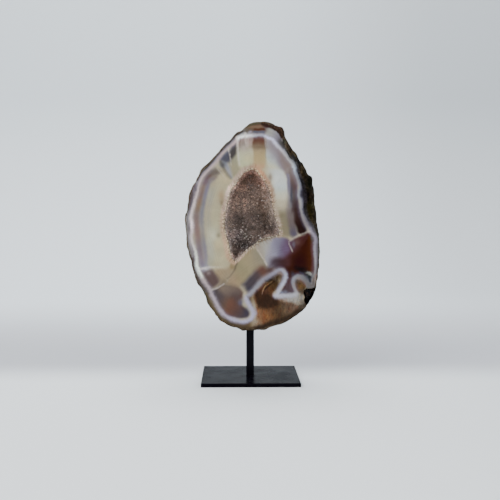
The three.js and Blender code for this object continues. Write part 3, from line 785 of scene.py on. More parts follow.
# Shades along the middle of the white band
bandTones = [
    (10, 252.4, 172, 172, 179), (17.9, 249.2, 196, 196, 206), (38.7, 226.9, 172, 172, 172),
    (44.2, 218.8, 182, 188, 194), (47.8, 207.9, 150, 152, 158), (50.9, 186.5, 160, 160, 165),
    (56.7, 162.3, 140, 134, 138), (62.1, 154.4, 158, 152, 164), (66.2, 116, 154, 152, 154),
    (64.3, 105, 108, 100, 94), (44.9, 107.4, 146, 150, 158), (44, 99, 144, 142, 150),
    (46.4, 91, 172, 172, 176),
    (27, 89.5, 180, 180, 188), (36.1, 109.5, 172, 174, 184), (23.6, 112.1, 152, 150, 163),
    (3.7, 95.5, 154, 154, 162), (-1.2, 79.5, 176, 174, 188), (-45.9, 102.1, 178, 168, 170),
    (-51.8, 113.9, 206, 210, 206), (-60.3, 150, 190, 184, 184), (-59.8, 161.9, 208, 202, 204),
    (-60.1, 173.9, 196, 190, 190), (-19.1, 242.1, 180, 168, 168), (-12.1, 249.2, 230, 226, 224),
]

# Healed cracks, as pale lines: half the width, strength at either end and the line; and the dark sutures
paleCracks = [
    (0.9, 1.0, 0.1, [(-52, 116.2), (-44, 118.3), (-36, 118.3), (-28, 118)]),
    (0.7, 0.7, 0.5, [(-39.5, 95.3), (-34, 97), (-27, 101.5)]),
    (0.7, 0.4, 0.6, [(7, 136), (11, 130), (14.6, 124.5), (16.6, 120.5)]),
    (0.7, 0.45, 0.3, [(60.5, 155), (55, 153), (50, 151.2), (45, 148.6), (40, 145)]),
    (0.7, 0.4, 0.6, [(39, 144), (40.2, 140), (42.6, 134.5)]), (0.9, 1.4, 0.5, [(-14, 250), (-13.4, 245),
                                                                               (-12.8, 235), (-11, 222)]),
    (0.6, 0.9, 0.3, [(-22.5, 239), (-20.6, 230), (-19.6, 222)]),
    (0.5, 0.9, 0.3, [(-2, 251), (-3, 240)]), (0.6, 0.3, 0.3, [(-34, 219), (-29, 213), (-25, 208)]),
    (0.9, 1.3, 0.3, [(-5.5, 254), (-5, 248), (-4, 241)]), (0.5, 0.7, 0.2, [(14.5, 249), (15.2, 240)]),
]
darkSutures = [
    (1.0, 0.8, 0.5, [(-14, 122), (-16.4, 115.6), (-19.6, 110.6), (-23, 107)]),
    (1.7, 0.9, 0.6, [(-30.5, 225.5), (-28, 220.5), (-24.5, 214), (-20.5, 209)]),
    (0.6, 0.9, 0.3, [(-10.4, 248.5), (-11, 236)]), (0.4, 0.9, 0.3, [(13.9, 250), (14.6, 240), (15.4, 229)]),
]


def ribbonColours(points, line, closed):
    # the distance to the line, and the colour at its nearest place, worked out between the colours given
    curve = smoothPath(line, closed, 4)
    far, along = distanceToPath(points, curve[:, :2], closed)
    steps = np.arange(len(curve))
    period = len(curve) if closed else None
    return far, np.stack([np.interp(along, steps, curve[:, 2 + i], period=period) for i in range(3)], -1)


def lay(tone, colour, mask):
    # tone + mask (colour - tone), written over tone
    tone += (np.asarray(colour) - tone) * mask[:, None]


def strip(far, halfWidth, soft):
    # 1 near a line, falling to 0 within its softness
    return 1 - smoothStep(max(halfWidth - soft, 0), halfWidth + soft, far)


def laySpots(tone, where, table, strength, fall, gain=1.0):
    # mask = strength e^(-fall far), with far = (x / half width)^2 + (z / half height)^2
    for colour, x, z, halfWidth, halfHeight in table:
        far = ((where[:, 0] - x) / halfWidth) ** 2 + ((where[:, 1] - z) / halfHeight) ** 2
        lay(tone, np.array(colour) * gain, strength * np.exp(-fall * far))


paint = {
    "base": (178, 172, 150), "baseChange": (5, 4.5, 4),        # clear agate between the hollow and the white band
    "bend": 0.45, "sway": 1.1,        # how far noise moves the outlines, in small and in wide waves, in millimetres
    "spotStrength": 0.95, "spotFall": 0.6,
    "warmth": (0.012, 0.0, -0.016),        # slow change of hue, as shares of red, green and blue
    "clouds": (0.014, 0.01),        # slow and quick change of light
    "vugColour": (16, 11, 8), "vugChange": (44, 30, 22),
}


def paintStone(points):
    # tone = broad base, then each feature laid over it with its own smooth mask; the outlines are bent by a
    # little noise so that no edge is ruled
    where = points[:, [0, 2]] + paint["bend"] * noisePair(points, 3.1, 11)
    swayed = where + paint["sway"] * noisePair(points, 8, 18)
    tone = np.array(paint["base"]) + np.outer(valueNoise(points, 9, 13), paint["baseChange"])
    for colour, soft, outline in patches:
        near = signedDistance(swayed, smoothPath(outline, True, 4))
        shade = ribbonColours(swayed, colour, False)[1] if isinstance(colour, list) else colour
        lay(tone, shade, 1 - smoothStep(-soft, soft, near))
    for halfWidth, soft, line in ribbons:
        far, colours = ribbonColours(where, line, False)
        lay(tone, colours, strip(far, halfWidth, soft))
    outside = smoothStep(-0.5, 1.2, signedDistance(where, bandLine))
    lowerRight = smoothStep(-2, 6, where[:, 0]) * (1 - smoothStep(98, 112, where[:, 1]))
    lay(tone, ribbonColours(where, outerRibbon, True)[1], outside * (1 - lowerRight))
    for colour, halfWidth, soft, line in strokes:
        far, _ = distanceToPath(where, smoothPath(line, False, 4), False)
        lay(tone, colour, strip(far, halfWidth, soft))
    laySpots(tone, where, spots, paint["spotStrength"], paint["spotFall"])
    warm = np.outer(valueNoise(points, 11, 14), paint["warmth"])
    slow, quick = paint["clouds"]
    cloud = slow * valueNoise(points, 7, 15) + quick * valueNoise(points, 1.8, 16)
    return tone * (1 + warm + cloud[:, None])


def lineMask(points, lines):
    # 1 on the lines, falling to 0 at their edges
    mask = np.zeros(len(points))
    for halfWidth, start, end, line in lines:
        curve = smoothPath(line, False, 4)
        far, along = distanceToPath(points, curve, False)
        strength = start + (end - start) * along / (len(curve) - 1)
        mask = np.maximum(mask, strength * (1 - smoothStep(0.3 * halfWidth, 1.7 * halfWidth, far)))
    return mask


rough = {
    "base": (70, 58, 46), "baseChange": (28, 24, 18),        # colours as seen
    "rust": (112, 78, 50), "rustShare": 0.5,
    "pale": (136, 126, 108), "paleShare": 0.55,
    "right": (48, 40, 31), "shadedSideChange": (26, 23, 10), "shadedSideShare": 0.92,        # the darker upper right side: partly its own dark crust, partly painted shade for the side turned from the light
    "speckle": 0.16,
    "crusts": 0.75,        # contrast of the right side's crusts
    "spotGain": 0.85, "spotFall": 0.8,
    "gloss": 0.3,        # specular level
    "ior": 1.12,
    "relief": 0.0011,        # of the bump, in metres
    "brightness": 1.1,
}


def rindTone(points):
    # browns of the rough skin: three crusts told apart by noise, with the upper right side darkest, partly its own dark
    # crust and partly painted shade for the side turned from the light
    wide = smoothStep(-0.35, 0.45, valueNoise(points, 17, 21) + 0.4 * valueNoise(points, 6, 22))
    pale = smoothStep(0.2, 0.6, valueNoise(points, 11, 23) + 0.5 * valueNoise(points, 4, 24))
    speck = valueNoise(points, 4.0, 25)
    rust = smoothStep(0.1, 0.6, valueNoise(points, 13, 28) + 0.5 * valueNoise(points, 5, 29))
    tone = np.array(rough["base"]) + np.outer(wide, rough["baseChange"])
    lay(tone, rough["rust"], rough["rustShare"] * rust)
    lay(tone, rough["pale"], rough["paleShare"] * pale)
    # painted shade, together with the crust's own darker colour: the upper right of the rind, turned from the light, is
    # laid darker
    right = smoothStep(20, 50, points[:, 0]) * smoothStep(110, 160, points[:, 2])
    olive = smoothStep(-0.3, 0.5, valueNoise(points, 9, 27))
    lay(tone, np.array(rough["right"]) + np.outer(olive, rough["shadedSideChange"]), rough["shadedSideShare"] * right)
    crusts = 0.6 * valueNoise(points, 3.4, 41) + 0.5 * valueNoise(points, 1.7, 42)
    return tone * ((1 + rough["speckle"] * speck) * (1 + rough["crusts"] * crusts * right))[:, None]


# Single places on the rind, as colour, x, z and two half widths; the darkest, on the right side, are partly painted
# shade for the side turned from the light
rindSpots = [
    ((64, 64, 78), 52, 193, 1.4, 6), ((20, 14, 12), 58, 192, 3.5, 5), ((28, 28, 22), 60, 202, 3.5, 5),
    ((48, 42, 34), 57, 202, 1.6, 3), ((43, 38, 20), 60, 178, 4.5, 7), ((55, 45, 30), 56, 178, 1.6, 6),
    ((78, 75, 56), 63.6, 182, 1.4, 3), ((50, 42, 22), 60, 170, 2.4, 4), ((86, 73, 53), 63.4, 165, 1.8, 3),
    ((82, 73, 62), 65.5, 158, 1.6, 4), ((86, 83, 75), 69.4, 144, 1.2, 6), ((38, 36, 38), 48, 225, 2.4, 3),
    ((50, 40, 34), 40.5, 237, 2, 3), ((90, 90, 75), 34.6, 246, 2.4, 3), ((76, 66, 42), 33.4, 257, 1.6, 2.4),
    ((46, 25, 21), 28, 257.5, 2, 2.4), ((58, 55, 42), 22.5, 260.8, 2.4, 1.6), ((85, 85, 66),
                                                                               10, 265, 8, 1.2),
    ((62, 50, 42), 50.4, 213, 1.8, 3), ((45, 38, 25), 55, 213, 2, 3), ((25, 25, 20), 60, 208, 2.4, 3),
    ((42, 42, 46), 43.5, 230, 2, 3), ((84, 80, 62), -47, 90, 2, 6), ((120, 92, 62), 60, 84, 5, 5),
    ((82, 60, 48), 26, 260, 8, 4), ((76, 54, 42), 33, 254, 4, 5), ((110, 84, 64), 12, 264.5, 7, 2),
]


def dressStone():
    # the tone of every point, and what the polished face's material reads: how near the white band is, the
    # growth layers, the rays beside the hollow and the healed cracks
    points = stonePoints
    flat = points[:, [0, 2]]
    depth = points[:, 1] - faceY        # behind the face
    onFace = depth < 0.01
    angle = np.arctan2(flat[:, 1] - heart[1], flat[:, 0])
    fromHeart = np.hypot(*(flat - heart).T)
    tone = paintStone(points)
    rind = rindTone(points)
    laySpots(rind, flat, rindSpots, 1 - smoothStep(14, 22, depth), rough["spotFall"], rough["spotGain"])
    edge = smoothStep(0.05, 0.8, depth) * (fromHeart > 0.9 * faceRadius(angle))
    lay(tone, rind, edge)
    tone = np.where(((depth > 6) | (edge > 0.99))[:, None], rind, tone)
    vugTone = np.array(paint["vugColour"]) + np.outer(smoothStep(0.1, 0.8, valueNoise(points, 2.2, 26)), paint["vugChange"])
    lay(tone, vugTone, smoothStep(0.02, 0.3, vugDepths) * (depth < 12))
    storeColour(geode, "tone", reflectance(np.clip(tone, 4, 250)))

    bent = flat + 0.3 * noisePair(points, 2.4, 14)
    toBand, along = distanceToPath(bent, bandLine)
    outward = np.where(insidePath(bent, bandLine), -toBand, toBand)
    steps = np.arange(len(bandReach))
    inner, outer = (np.interp(along, steps, bandReach[:, side], period=len(steps)) for side in (0, 1))
    reach = np.where(outward < 0, inner, outer) * (0.86 + 0.16 * valueNoise(points, 6, 16))
    strength = onFace * (1 - smoothStep(0.0, 0.15, vugDepths)) * (0.94 + 0.06 * valueNoise(points, 4, 17))
    storeVector(geode, "band", np.stack([toBand / reach, strength, toBand], -1))
    storeColour(geode, "bandTone", reflectance(ribbonColours(bent, bandTones, True)[1]))

    toHollow = np.maximum(fromHeart - hollowRadius(angle), 0)
    layer = toHollow / (toHollow + toBand + 0.5)
    storeVector(geode, "ray", np.stack([np.cos(angle) * 34, np.sin(angle) * 34, toHollow * 0.12], -1))
    lower = 1 - smoothStep(106, 114, bent[:, 1])
    moss = smoothStep(-0.5, 2, outward) * smoothStep(-2, 8, bent[:, 0]) * lower * onFace
    storeVector(geode, "growth", np.stack([layer * 30, toHollow, moss], -1))
    cracks, sutures = (lineMask(bent, lines) * onFace for lines in (paleCracks, darkSutures))
    storeVector(geode, "lines", np.stack([cracks, sutures, 0 * sutures], -1))


dressStone()
print("stone painted")


# Materials of the stone

polish = {
    "crackColour": (196, 192, 188),        # as seen, like every colour down to the inclusions
    "sutureColour": (84, 78, 76),
    "hazeColour": (172, 168, 184),        # beside the white band
    "rayColour": (150, 124, 88),        # golden rays round the hollow
    "paleGrain": (214, 204, 194),
    "brownGrain": (102, 84, 72),
    "rusty": (1.1, 0.6, 0.42),        # the inclusions' own three, as shares of the light
    "golden": (1.45, 1.2, 0.8),
    "fleck": (0.3, 0.26, 0.24),
    "roughness": 0.2,
    "gloss": 0.08,        # specular level
    "glow": 0.1,        # how much light scatters under the skin
    "fineBands": 0.2,        # contrast of the growth layers
    "rays": 0.68,        # contrast of the crystal rays beside the hollow
    "bandRays": 0.34,        # and of the same rays where they cross the white band
    "clouds": 0.22,
    "grain": 0.14,
    "tufts": 1.7,
}


def agateMaterial():
    # tone x layers x rays x clouds x grain, then the grains at the hollow, the inclusions, the white band and cracks
    material, tree, shader = newMaterial("polishedAgate", Roughness=polish["roughness"], IOR=1.54,
                                         Specular_IOR_Level=polish["gloss"],
                                         Subsurface_Weight=polish["glow"], Subsurface_Scale=0.0025,
                                         Subsurface_Radius=(1.0, 0.75, 0.55))
    where = objectPlace(tree)
    bandAcross, bandStrength, toBand = parted(tree, readAttribute(tree, "band", "Vector"))
    layer, toHollow, moss = parted(tree, readAttribute(tree, "growth", "Vector"))
    cracks, sutures, _ = parted(tree, readAttribute(tree, "lines", "Vector"))
    ray = readAttribute(tree, "ray", "Vector")

    # growth layers: one-dimensional noise over the distance between the hollow and the white band
    layers = addNode(tree, "TexNoise", {"W": layer, "Scale": 1.0, "Detail": 3.0, "Roughness": 0.6},
                     noise_dimensions="1D").outputs["Fac"]
    # crystal rays stand square to the hollow's edge and fade within a few millimetres
    streak = noise(tree, ray, 1.4, 3.0, 0.65)
    fade = product(tree, rampValue(tree, toHollow, 2.0, 10.0, 1.0, 0.2), polish["rays"])
    cloud = noise(tree, where, 140.0, 3.0, 0.55)
    grain = noise(tree, where, 1500.0, 2.0, 0.6)
    change = product(tree, swing(tree, layers, polish["fineBands"]), swing(tree, streak, fade),
                     swing(tree, cloud, polish["clouds"]), swing(tree, grain, polish["grain"]))
    body = shadeBy(tree, readAttribute(tree, "tone"), change)
    golden = product(tree, rampValue(tree, toHollow, 9.0, 2.5),
                     rampValue(tree, noise(tree, ray, 0.8, 3.0, 0.7), 0.5, 0.62, 0.0, 0.55))
    body = mixColour(tree, golden, body, tint(polish["rayColour"]))

    # the stone is sugary beside the hollow: pale grains, and brown ones where the crystals break through
    grains = noise(tree, where, 620.0, 4.0, 0.6)
    pale = product(tree, rampValue(tree, toHollow, 4.6, 0.3), rampValue(tree, grains, 0.5, 0.66, 0.0, 0.45))
    brown = product(tree, rampValue(tree, toHollow, 3.4, 0.0), rampValue(tree, grains, 0.54, 0.4, 0.0, 0.9))
    body = mixColour(tree, pale, body, tint(polish["paleGrain"]))
    body = mixColour(tree, brown, body, tint(polish["brownGrain"]))

    # the inclusions lie in uneven tufts, drawn out upwards, rusty and golden with dark flecks
    tufts = addNode(tree, "Mapping", {"Vector": where, "Scale": (1.0, 1.0, 0.45)}).outputs[0]
    tuft = noise(tree, tufts, 480.0, 4.0, 0.65)
    body = shadeBy(tree, body, swing(tree, tuft, product(tree, moss, polish["tufts"])))
    drift = noise(tree, tufts, 250.0, 3.0, 0.6)
    specks = noise(tree, where, 760.0, 3.0, 0.6)
    for name, value, low, high, most in (("rusty", drift, 0.5, 0.62, 0.42), ("golden", drift, 0.46, 0.36, 0.5),
                                         ("fleck", specks, 0.44, 0.32, 0.7)):
        share = product(tree, moss, rampValue(tree, value, low, high, 0.0, most))
        body = mixColour(tree, share, body, (*polish[name], 1.0), "MULTIPLY")

    # the white band: full in its middle, hazy at its sides, its edge feathered by fine noise
    feather = noise(tree, where, 420.0, 3.0, 0.6)
    edge = calculate(tree, "ADD", bandAcross, calculate(tree, "MULTIPLY_ADD", feather, 1.1, -0.5))
    core = product(tree, calculate(tree, "POWER", rampValue(tree, edge, 2.0, 0.0), 1.9), bandStrength)
    haze = product(tree, rampValue(tree, toBand, 5.5, 0.6), bandStrength, 0.14)
    body = mixColour(tree, haze, body, tint(polish["hazeColour"]))
    bandTone = shadeBy(tree, readAttribute(tree, "bandTone"), swing(tree, streak, polish["bandRays"]))
    body = mixColour(tree, core, body, bandTone)
    broken = product(tree, cracks, rampValue(tree, feather, 0.3, 0.6, 0.25, 0.65))
    body = mixColour(tree, broken, body, tint(polish["crackColour"]))
    body = mixColour(tree, product(tree, sutures, 0.75), body, tint(polish["sutureColour"]))
    roughness = rampValue(tree, cloud, 0.3, 0.7, polish["roughness"] - 0.04, polish["roughness"] + 0.06)
    connect(tree, shader, body, roughness, (0.06, 0.0002, noise(tree, where, 900.0, 3.0, 0.55)))
    return material


def rindMaterial():
    # tone x mottle x blotches x brightness; the bump is pits, mottle and grit together
    material, tree, shader = newMaterial("roughRind", IOR=rough["ior"], Specular_IOR_Level=rough["gloss"])
    where = objectPlace(tree)
    mottle = noise(tree, where, 520.0, 4.0, 0.62)
    blotch = noise(tree, where, 150.0, 3.0, 0.55)
    light = product(tree, rampValue(tree, mottle, 0.32, 0.7, 0.42, 1.65),
                    rampValue(tree, blotch, 0.3, 0.7, 0.8, 1.2), rough["brightness"])
    pits = addNode(tree, "TexVoronoi", {"Vector": where, "Scale": 620.0}).outputs["Distance"]
    grit = calculate(tree, "ADD", mottle, noise(tree, where, 1700.0, 2.0, 0.6))
    height = calculate(tree, "MULTIPLY_ADD", pits, 0.5, grit)
    connect(tree, shader, shadeBy(tree, readAttribute(tree, "tone"), light),
            rampValue(tree, blotch, 0.35, 0.7, 0.62, 0.9), (0.75, rough["relief"], height))
    return material


def wallMaterial():
    # brown rock between the crystals
    material, tree, shader = newMaterial("hollowWall", Roughness=0.6)
    grain = noise(tree, objectPlace(tree), 900.0, 3.0, 0.6)
    body = mixColour(tree, rampValue(tree, grain, 0.3, 0.7), tint((58, 45, 40)), tint((104, 86, 76)))
    connect(tree, shader, body, None, (0.5, 0.0004, grain))
    return material


for material in (agateMaterial(), rindMaterial(), wallMaterial()):
    geode.data.materials.append(material)
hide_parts("agate_stone")
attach(geode, "root")
print("stone dressed")


# Druse: hexagonal points packed over the hollow on a lumpy crust

druse = {
    "spacing": 1.2,        # between the feet of neighbouring crystals
    "widths": (0.55, 1.15),        # half widths, least and most
    "heights": (0.9, 2.6),
    "tilt": 0.42,        # how far a crystal leans, as a share of its height
    "inset": 0.9,        # of the crystals' feet from the edge of the hollow
    "floorInset": 0.6,
    "crustRings": 26,
    "crustAround": 150,
    "roughness": 0.13,
    "inShade": 2.3,        # the hollow is in its own shade, so its stone is this much paler than it looks
    "colour": (118, 100, 89),        # as seen, halfway up
    "lowColour": (84, 72, 66),
    "highColour": (108, 80, 68),
    "crustColour": (84, 68, 60),
    # painted glint: the pale shade some crystals take, standing for light sparkling off their faces
    "glintColour": (196, 188, 182),
    "seed": 7,
}

# Lighter and darker parts of the druse, as colour, x, z and two half widths
druseSpots = [
    ((128, 111, 101), -22, 172, 4, 9), ((140, 123, 112), -23, 159, 4, 7), ((122, 106, 99),
                                                                           -20, 150, 3.5, 6),
    ((118, 103, 95), -19, 140, 3, 6), ((116, 99, 89), -18.5, 131, 3, 4), ((52, 42, 39), -4, 141, 6, 5),
    ((94, 79, 73), -12, 132, 4, 3), ((90, 80, 79), -12, 149, 5, 5), ((84, 78, 72), -4, 150, 4, 4),
    ((90, 77, 70), 5, 153, 5, 4),
    ((78, 63, 55), 20, 152, 5, 2.5), ((120, 103, 94), 26.5, 156, 2.6, 4), ((118, 102, 91),
                                                                           22.5, 169, 2.4, 6),
    ((104, 90, 80), 20.5, 180, 2.6, 6), ((112, 94, 84), 18.5, 190, 2.6, 5), ((70, 57, 49), 15, 170, 4, 5),
    ((84, 66, 56), 12, 184, 4, 6), ((140, 117, 101), 14.5, 200, 2.4, 3.5), ((96, 76, 66),
                                                                            -18, 191, 2.4, 4), ((96, 74, 62), -7, 206, 5, 5),
    ((142, 121, 108), -11, 187, 5, 7), ((104, 86, 74), 2, 190, 3, 5), ((66, 54, 48), 6, 147.5, 5, 3.5),
    ((44, 36, 34), -6, 138.5, 4, 3.5),
]


def hollowShape(angle, u, inset, raised):
    # the same hollow with s = sin^(2/3) u across and d = cos^(2/3) u deep, u running from floor to mouth
    s = np.sin(u) ** (2 / 3)
    d = np.maximum(np.cos(u), 0) ** (2 / 3)
    return roundHeart(angle, (hollowRadius(angle) - inset) * s, faceY + (stone["hollowDepth"] - raised) * d)


def hollowFrame(angle, u, inset, raised):
    # the place, and the way out of the wall: the cross product of the two slopes, turned to the hollow's axis
    step = 1e-3
    place = hollowShape(angle, u, inset, raised)
    byAngle = hollowShape(angle + step, u, inset, raised) - hollowShape(angle - step, u, inset, raised)
    higher, lower = np.minimum(u + step, math.pi / 2 - 1e-4), np.maximum(u - step, 1e-3)
    byHeight = hollowShape(angle, higher, inset, raised) - hollowShape(angle, lower, inset, raised)
    normal = np.cross(byAngle, byHeight)
    normal /= np.maximum(np.linalg.norm(normal, axis=1, keepdims=True), 1e-9)
    axis = np.array([heart[0], faceY - 4, heart[1]])
    normal *= np.sign(((axis - place) * normal).sum(1))[:, None]
    return place, normal


def makeCrust():
    # a closed lumpy shell: its front ring by ring from the floor to the mouth, and back behind the wall
    rings, around = druse["crustRings"], druse["crustAround"]
    angle = np.linspace(0, 2 * math.pi, around, endpoint=False)[None, :]
    u = (np.arange(1, rings + 1) / rings * math.pi / 2)[:, None]
    nearMouth = smoothStep(0.93, 1, u / (math.pi / 2)) + 0 * angle
    inset = (druse["inset"] - 0.2) * (1 - nearMouth) - nearMouth
    front = hollowShape(angle + 0 * u, u + 0 * angle, inset, druse["floorInset"] - 0.2)
    front[..., 1] += 0.25 - 0.17 * nearMouth
    back = hollowShape(angle + 0 * u, (u + 0 * angle)[::-1], -1.2, -2.4)
    back[..., 1] += 0.25
    points = np.concatenate([front, back]).reshape(-1, 3)
    lump = valueNoise(points, 3.2, 31) * 0.35 * smoothStep(0.5, 3, points[:, 1] - faceY)
    points[: rings * around, 1] -= lump[: rings * around]
    floorY = faceY + stone["hollowDepth"]
    tips = [[heart[0], floorY - druse["floorInset"] + 0.45, heart[1]], [heart[0], floorY + 2.65, heart[1]]]
    return np.vstack([points, tips]), *closedFaces(2 * rings, around, len(points), True)


def crystalSites(random):
    # rows at equal steps along the wall of a hollow 30 mm in radius, each filled round at the same spacing, and
    # both shaken a little
    u = np.linspace(0.02, math.pi / 2 - 1e-3, 400)
    line = np.stack([30 * np.sin(u) ** (2 / 3), stone["hollowDepth"] * np.cos(u) ** (2 / 3)], -1)
    run = np.concatenate([[0], np.cumsum(np.linalg.norm(np.diff(line, axis=0), axis=1))])
    turn = np.linspace(0, 2 * math.pi, 721)
    rim = np.stack([hollowRadius(turn) * np.cos(turn), hollowRadius(turn) * np.sin(turn)], -1)
    around = np.concatenate([[0], np.cumsum(np.linalg.norm(np.diff(rim, axis=0), axis=1))])
    angles, heights = [], []
    for reach in np.arange(druse["spacing"] / 2, run[-1], druse["spacing"] * 0.9):
        rowU = np.interp(reach, run, u)
        count = max(int(around[-1] * math.sin(rowU) ** (2 / 3) / druse["spacing"]), 3)
        places = (np.arange(count) + random.random() + random.uniform(-0.35, 0.35, count)) / count
        angles.append(np.interp(places % 1 * around[-1], around, turn))
        heights.append(np.interp(reach + random.uniform(-0.45, 0.45, count) * druse["spacing"], run, u))
    return np.concatenate(angles), np.concatenate(heights)


def makeCrystals():
    # each crystal: a hexagon at its foot, a wider one at its shoulder and a point; foot and shoulder are
    # place + width (cos, sin) in the wall's plane, carried along the crystal's own leaning axis
    random = np.random.default_rng(druse["seed"])
    angle, u = crystalSites(random)
    place, normal = hollowFrame(angle, u, druse["inset"], druse["floorInset"])
    count = len(place)
    shake = random.normal(0, 1, (count, 3))
    axis = normal + druse["tilt"] * shake * 0.7
    axis /= np.linalg.norm(axis, axis=1, keepdims=True)
    side = np.cross(axis, shake + (0.3, 0.2, 0.1))
    side /= np.linalg.norm(side, axis=1, keepdims=True)
    other = np.cross(axis, side)
    size = random.random(count) ** 1.8
    large = smoothStep(0.1, 0.6, valueNoise(place, 7, 33))
    width, height = (least + (most - least) * size * (0.6 + 0.5 * large)
                     for least, most in (druse["widths"], druse["heights"]))
    corner = np.arange(6) / 6 * 2 * math.pi
    hexagon = side[:, None, :] * np.cos(corner)[None, :, None] + other[:, None, :] * np.sin(corner)[None, :, None]
    uneven = 1 + 0.22 * random.normal(0, 1, (count, 6, 1)).clip(-1.5, 1.5)
    foot = place[:, None, :] - axis[:, None, :] * 0.7 + hexagon * (width * 0.9)[:, None, None]
    shoulder = place[:, None, :] + axis[:, None, :] * (height * 0.42)[:, None, None]
    shoulder = shoulder + hexagon * width[:, None, None] * uneven
    tip = (place + axis * height[:, None] + side * (width * 0.25 * shake[:, 0])[:, None])[:, None, :]
    points = np.concatenate([foot, shoulder, tip], 1)

    i = np.arange(6)
    j = (i + 1) % 6
    sides = np.stack([i, j, 6 + j, 6 + i], -1)
    point = np.stack([6 + i, 6 + j, np.full(6, 12)], -1)
    under = np.array([[0, 5, 4], [0, 4, 3], [0, 3, 2], [0, 2, 1]])
    start = (np.arange(count) * 13)[:, None, None]
    quads = (sides[None] + start).reshape(-1, 4)
    triangles = (np.vstack([point, under])[None] + start).reshape(-1, 3)

    # the druse is redder at the top and smoky below, each crystal its own shade
    x, z = place[:, 0], place[:, 2]
    colour = np.zeros((count, 3)) + druse["colour"]
    lay(colour, druse["lowColour"], 1 - smoothStep(168, 180, z))
    lay(colour, druse["highColour"], smoothStep(190, 210, z))
    laySpots(colour, place[:, [0, 2]], druseSpots, paint["spotStrength"], paint["spotFall"])
    colour *= 1 + (0.17 * valueNoise(place, 7, 34) + 0.13 * valueNoise(place, 3, 35))[:, None]
    colour *= 1 + 0.14 * random.normal(0, 1, (count, 1)).clip(-1.6, 2.2)
    colour *= 1 + 0.25 * (1 - smoothStep(124, 134, z))[:, None]
    # painted glints: a scattering of crystals, thickest round x -11, z 149, is laid pale for light sparkling off their
    # faces
    glintZone = np.exp(-(((x + 11) / 9) ** 2 + ((z - 149) / 10) ** 2))
    glinting = random.random(count) < 0.015 + 0.13 * glintZone
    lay(colour, druse["glintColour"], 0.55 * glinting)
    return points.reshape(-1, 3), quads, triangles, np.repeat(colour, 13, 0)


def growDruse():
    # crust and crystals in one mesh, with a shade for every point
    crustPoints, crustQuads, crustTriangles = makeCrust()
    crystalPoints, crystalQuads, crystalTriangles, crystalColours = makeCrystals()
    crystalPoints[:, 1] = np.maximum(crystalPoints[:, 1], faceY + 0.06)        # the saw cut them flush with the face
    shift = len(crustPoints)
    piece = buildMesh("druse_crystals", np.vstack([crustPoints, crystalPoints]),
                      np.vstack([crustQuads, crystalQuads + shift]),
                      np.vstack([crustTriangles, crystalTriangles + shift]), False)
    colours = np.vstack([np.zeros((shift, 3)) + druse["crustColour"], crystalColours])
    storeColour(piece, "shade", np.clip(reflectance(np.clip(colours, 6, 245)) * druse["inShade"], 0, 0.9))
    return piece, len(crystalPoints) // 13


crystals, crystalCount = growDruse()


def crystalMaterial():
    # the crystals' shades, painted glints among them, a little clouded
    material, tree, shader = newMaterial("smokyQuartz", Roughness=druse["roughness"], IOR=1.54,
                                         Subsurface_Weight=0.0)
    cloud = noise(tree, objectPlace(tree), 700.0, 2.0, 0.5)
    body = shadeBy(tree, readAttribute(tree, "shade"), rampValue(tree, cloud, 0.3, 0.7, 0.78, 1.22))
    connect(tree, shader, body, rampValue(tree, cloud, 0.35, 0.65, 0.08, 0.26))
    return material


crystals.data.materials.append(crystalMaterial())
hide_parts("druzy_crystals")
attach(crystals, "root")
print("druse grown:", crystalCount, "crystals")


# Stand: a square post with its pin, and the plate, in satin black

stand = {
    "edge": 0.45,        # rounding of the post's long edges
    "pinDiameter": 5.0,
    "pinPoint": 0.6,
    "colour": (23, 22, 27),
    "roughness": 0.24,
    "plateIor": 1.034,        # low, because the paint shows little of the bright sweep even at a glancing view
    "postIor": 1.12,
}


def roundedSquare(side, radius, steps=5):
    # a square's outline with quarter circles at its corners: corner centre + radius (cos, sin)
    turn = (np.arange(4)[:, None] + np.linspace(0, 1, steps)[None, :]) * math.pi / 2
    centre = (side / 2 - radius) * np.stack([np.sign(np.cos(turn.mean(1))), np.sign(np.sin(turn.mean(1)))], -1)
    return (centre[:, None, :] + radius * np.stack([np.cos(turn), np.sin(turn)], -1)).reshape(-1, 2)


def makePost():
    # the square outline carried up, closed in on top, and the pin's circle carried on from there
    low, high = (np.array(corner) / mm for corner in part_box("stand_post"))
    seat = stone["seat"][2]
    side = high[0] - low[0]
    outline = roundedSquare(side, stand["edge"])
    count = len(outline)
    around = np.arctan2(outline[:, 1], outline[:, 0])
    circle = np.stack([np.cos(around), np.sin(around)], -1)
    pin = stand["pinDiameter"] / 2
    soft = stand["edge"] * 0.5
    rings = [(outline * (1 - 2 * soft / side), low[2]), (outline, low[2] + soft), (outline, seat - soft),
             (outline * (1 - 2 * soft / side), seat), (circle * pin, seat), (circle * pin, high[2] - stand["pinPoint"]),
             (circle * (pin - stand["pinPoint"]), high[2])]
    middle = (low + high) / 2
    points = np.vstack([np.column_stack([ring + middle[:2], np.full(count, z)]) for ring, z in rings])
    tips = [[middle[0], middle[1], low[2]], [middle[0], middle[1], high[2]]]
    quads, fans = closedFaces(len(rings), count, len(points))
    return buildMesh("post", np.vstack([points, tips]), quads, fans, False)


def paintMaterial(name, ior):
    # satin black with a fine speckle, and handled patches that shine a little more or less
    material, tree, shader = newMaterial(name, Roughness=stand["roughness"], IOR=ior)
    where = objectPlace(tree)
    speck = noise(tree, where, 2600.0, 2.0, 0.5)
    handled = noise(tree, where, 45.0, 3.0, 0.55)
    body = mixColour(tree, rampValue(tree, speck, 0.3, 0.7), tint(stand["colour"], 0.9), tint(stand["colour"], 1.15))
    roughness = rampValue(tree, handled, 0.35, 0.7, stand["roughness"] - 0.04, stand["roughness"] + 0.06)
    connect(tree, shader, body, roughness, (0.12, 0.0001, speck))
    return material


post = makePost()
post.data.materials.append(paintMaterial("postPaint", stand["postIor"]))
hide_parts("stand_post")
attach(post, "root")
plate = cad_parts["stand_plate"]
plate.data.materials.clear()
plate.data.materials.append(paintMaterial("platePaint", stand["plateIor"]))
print("stand made")


# The pale sweep behind and the soft light

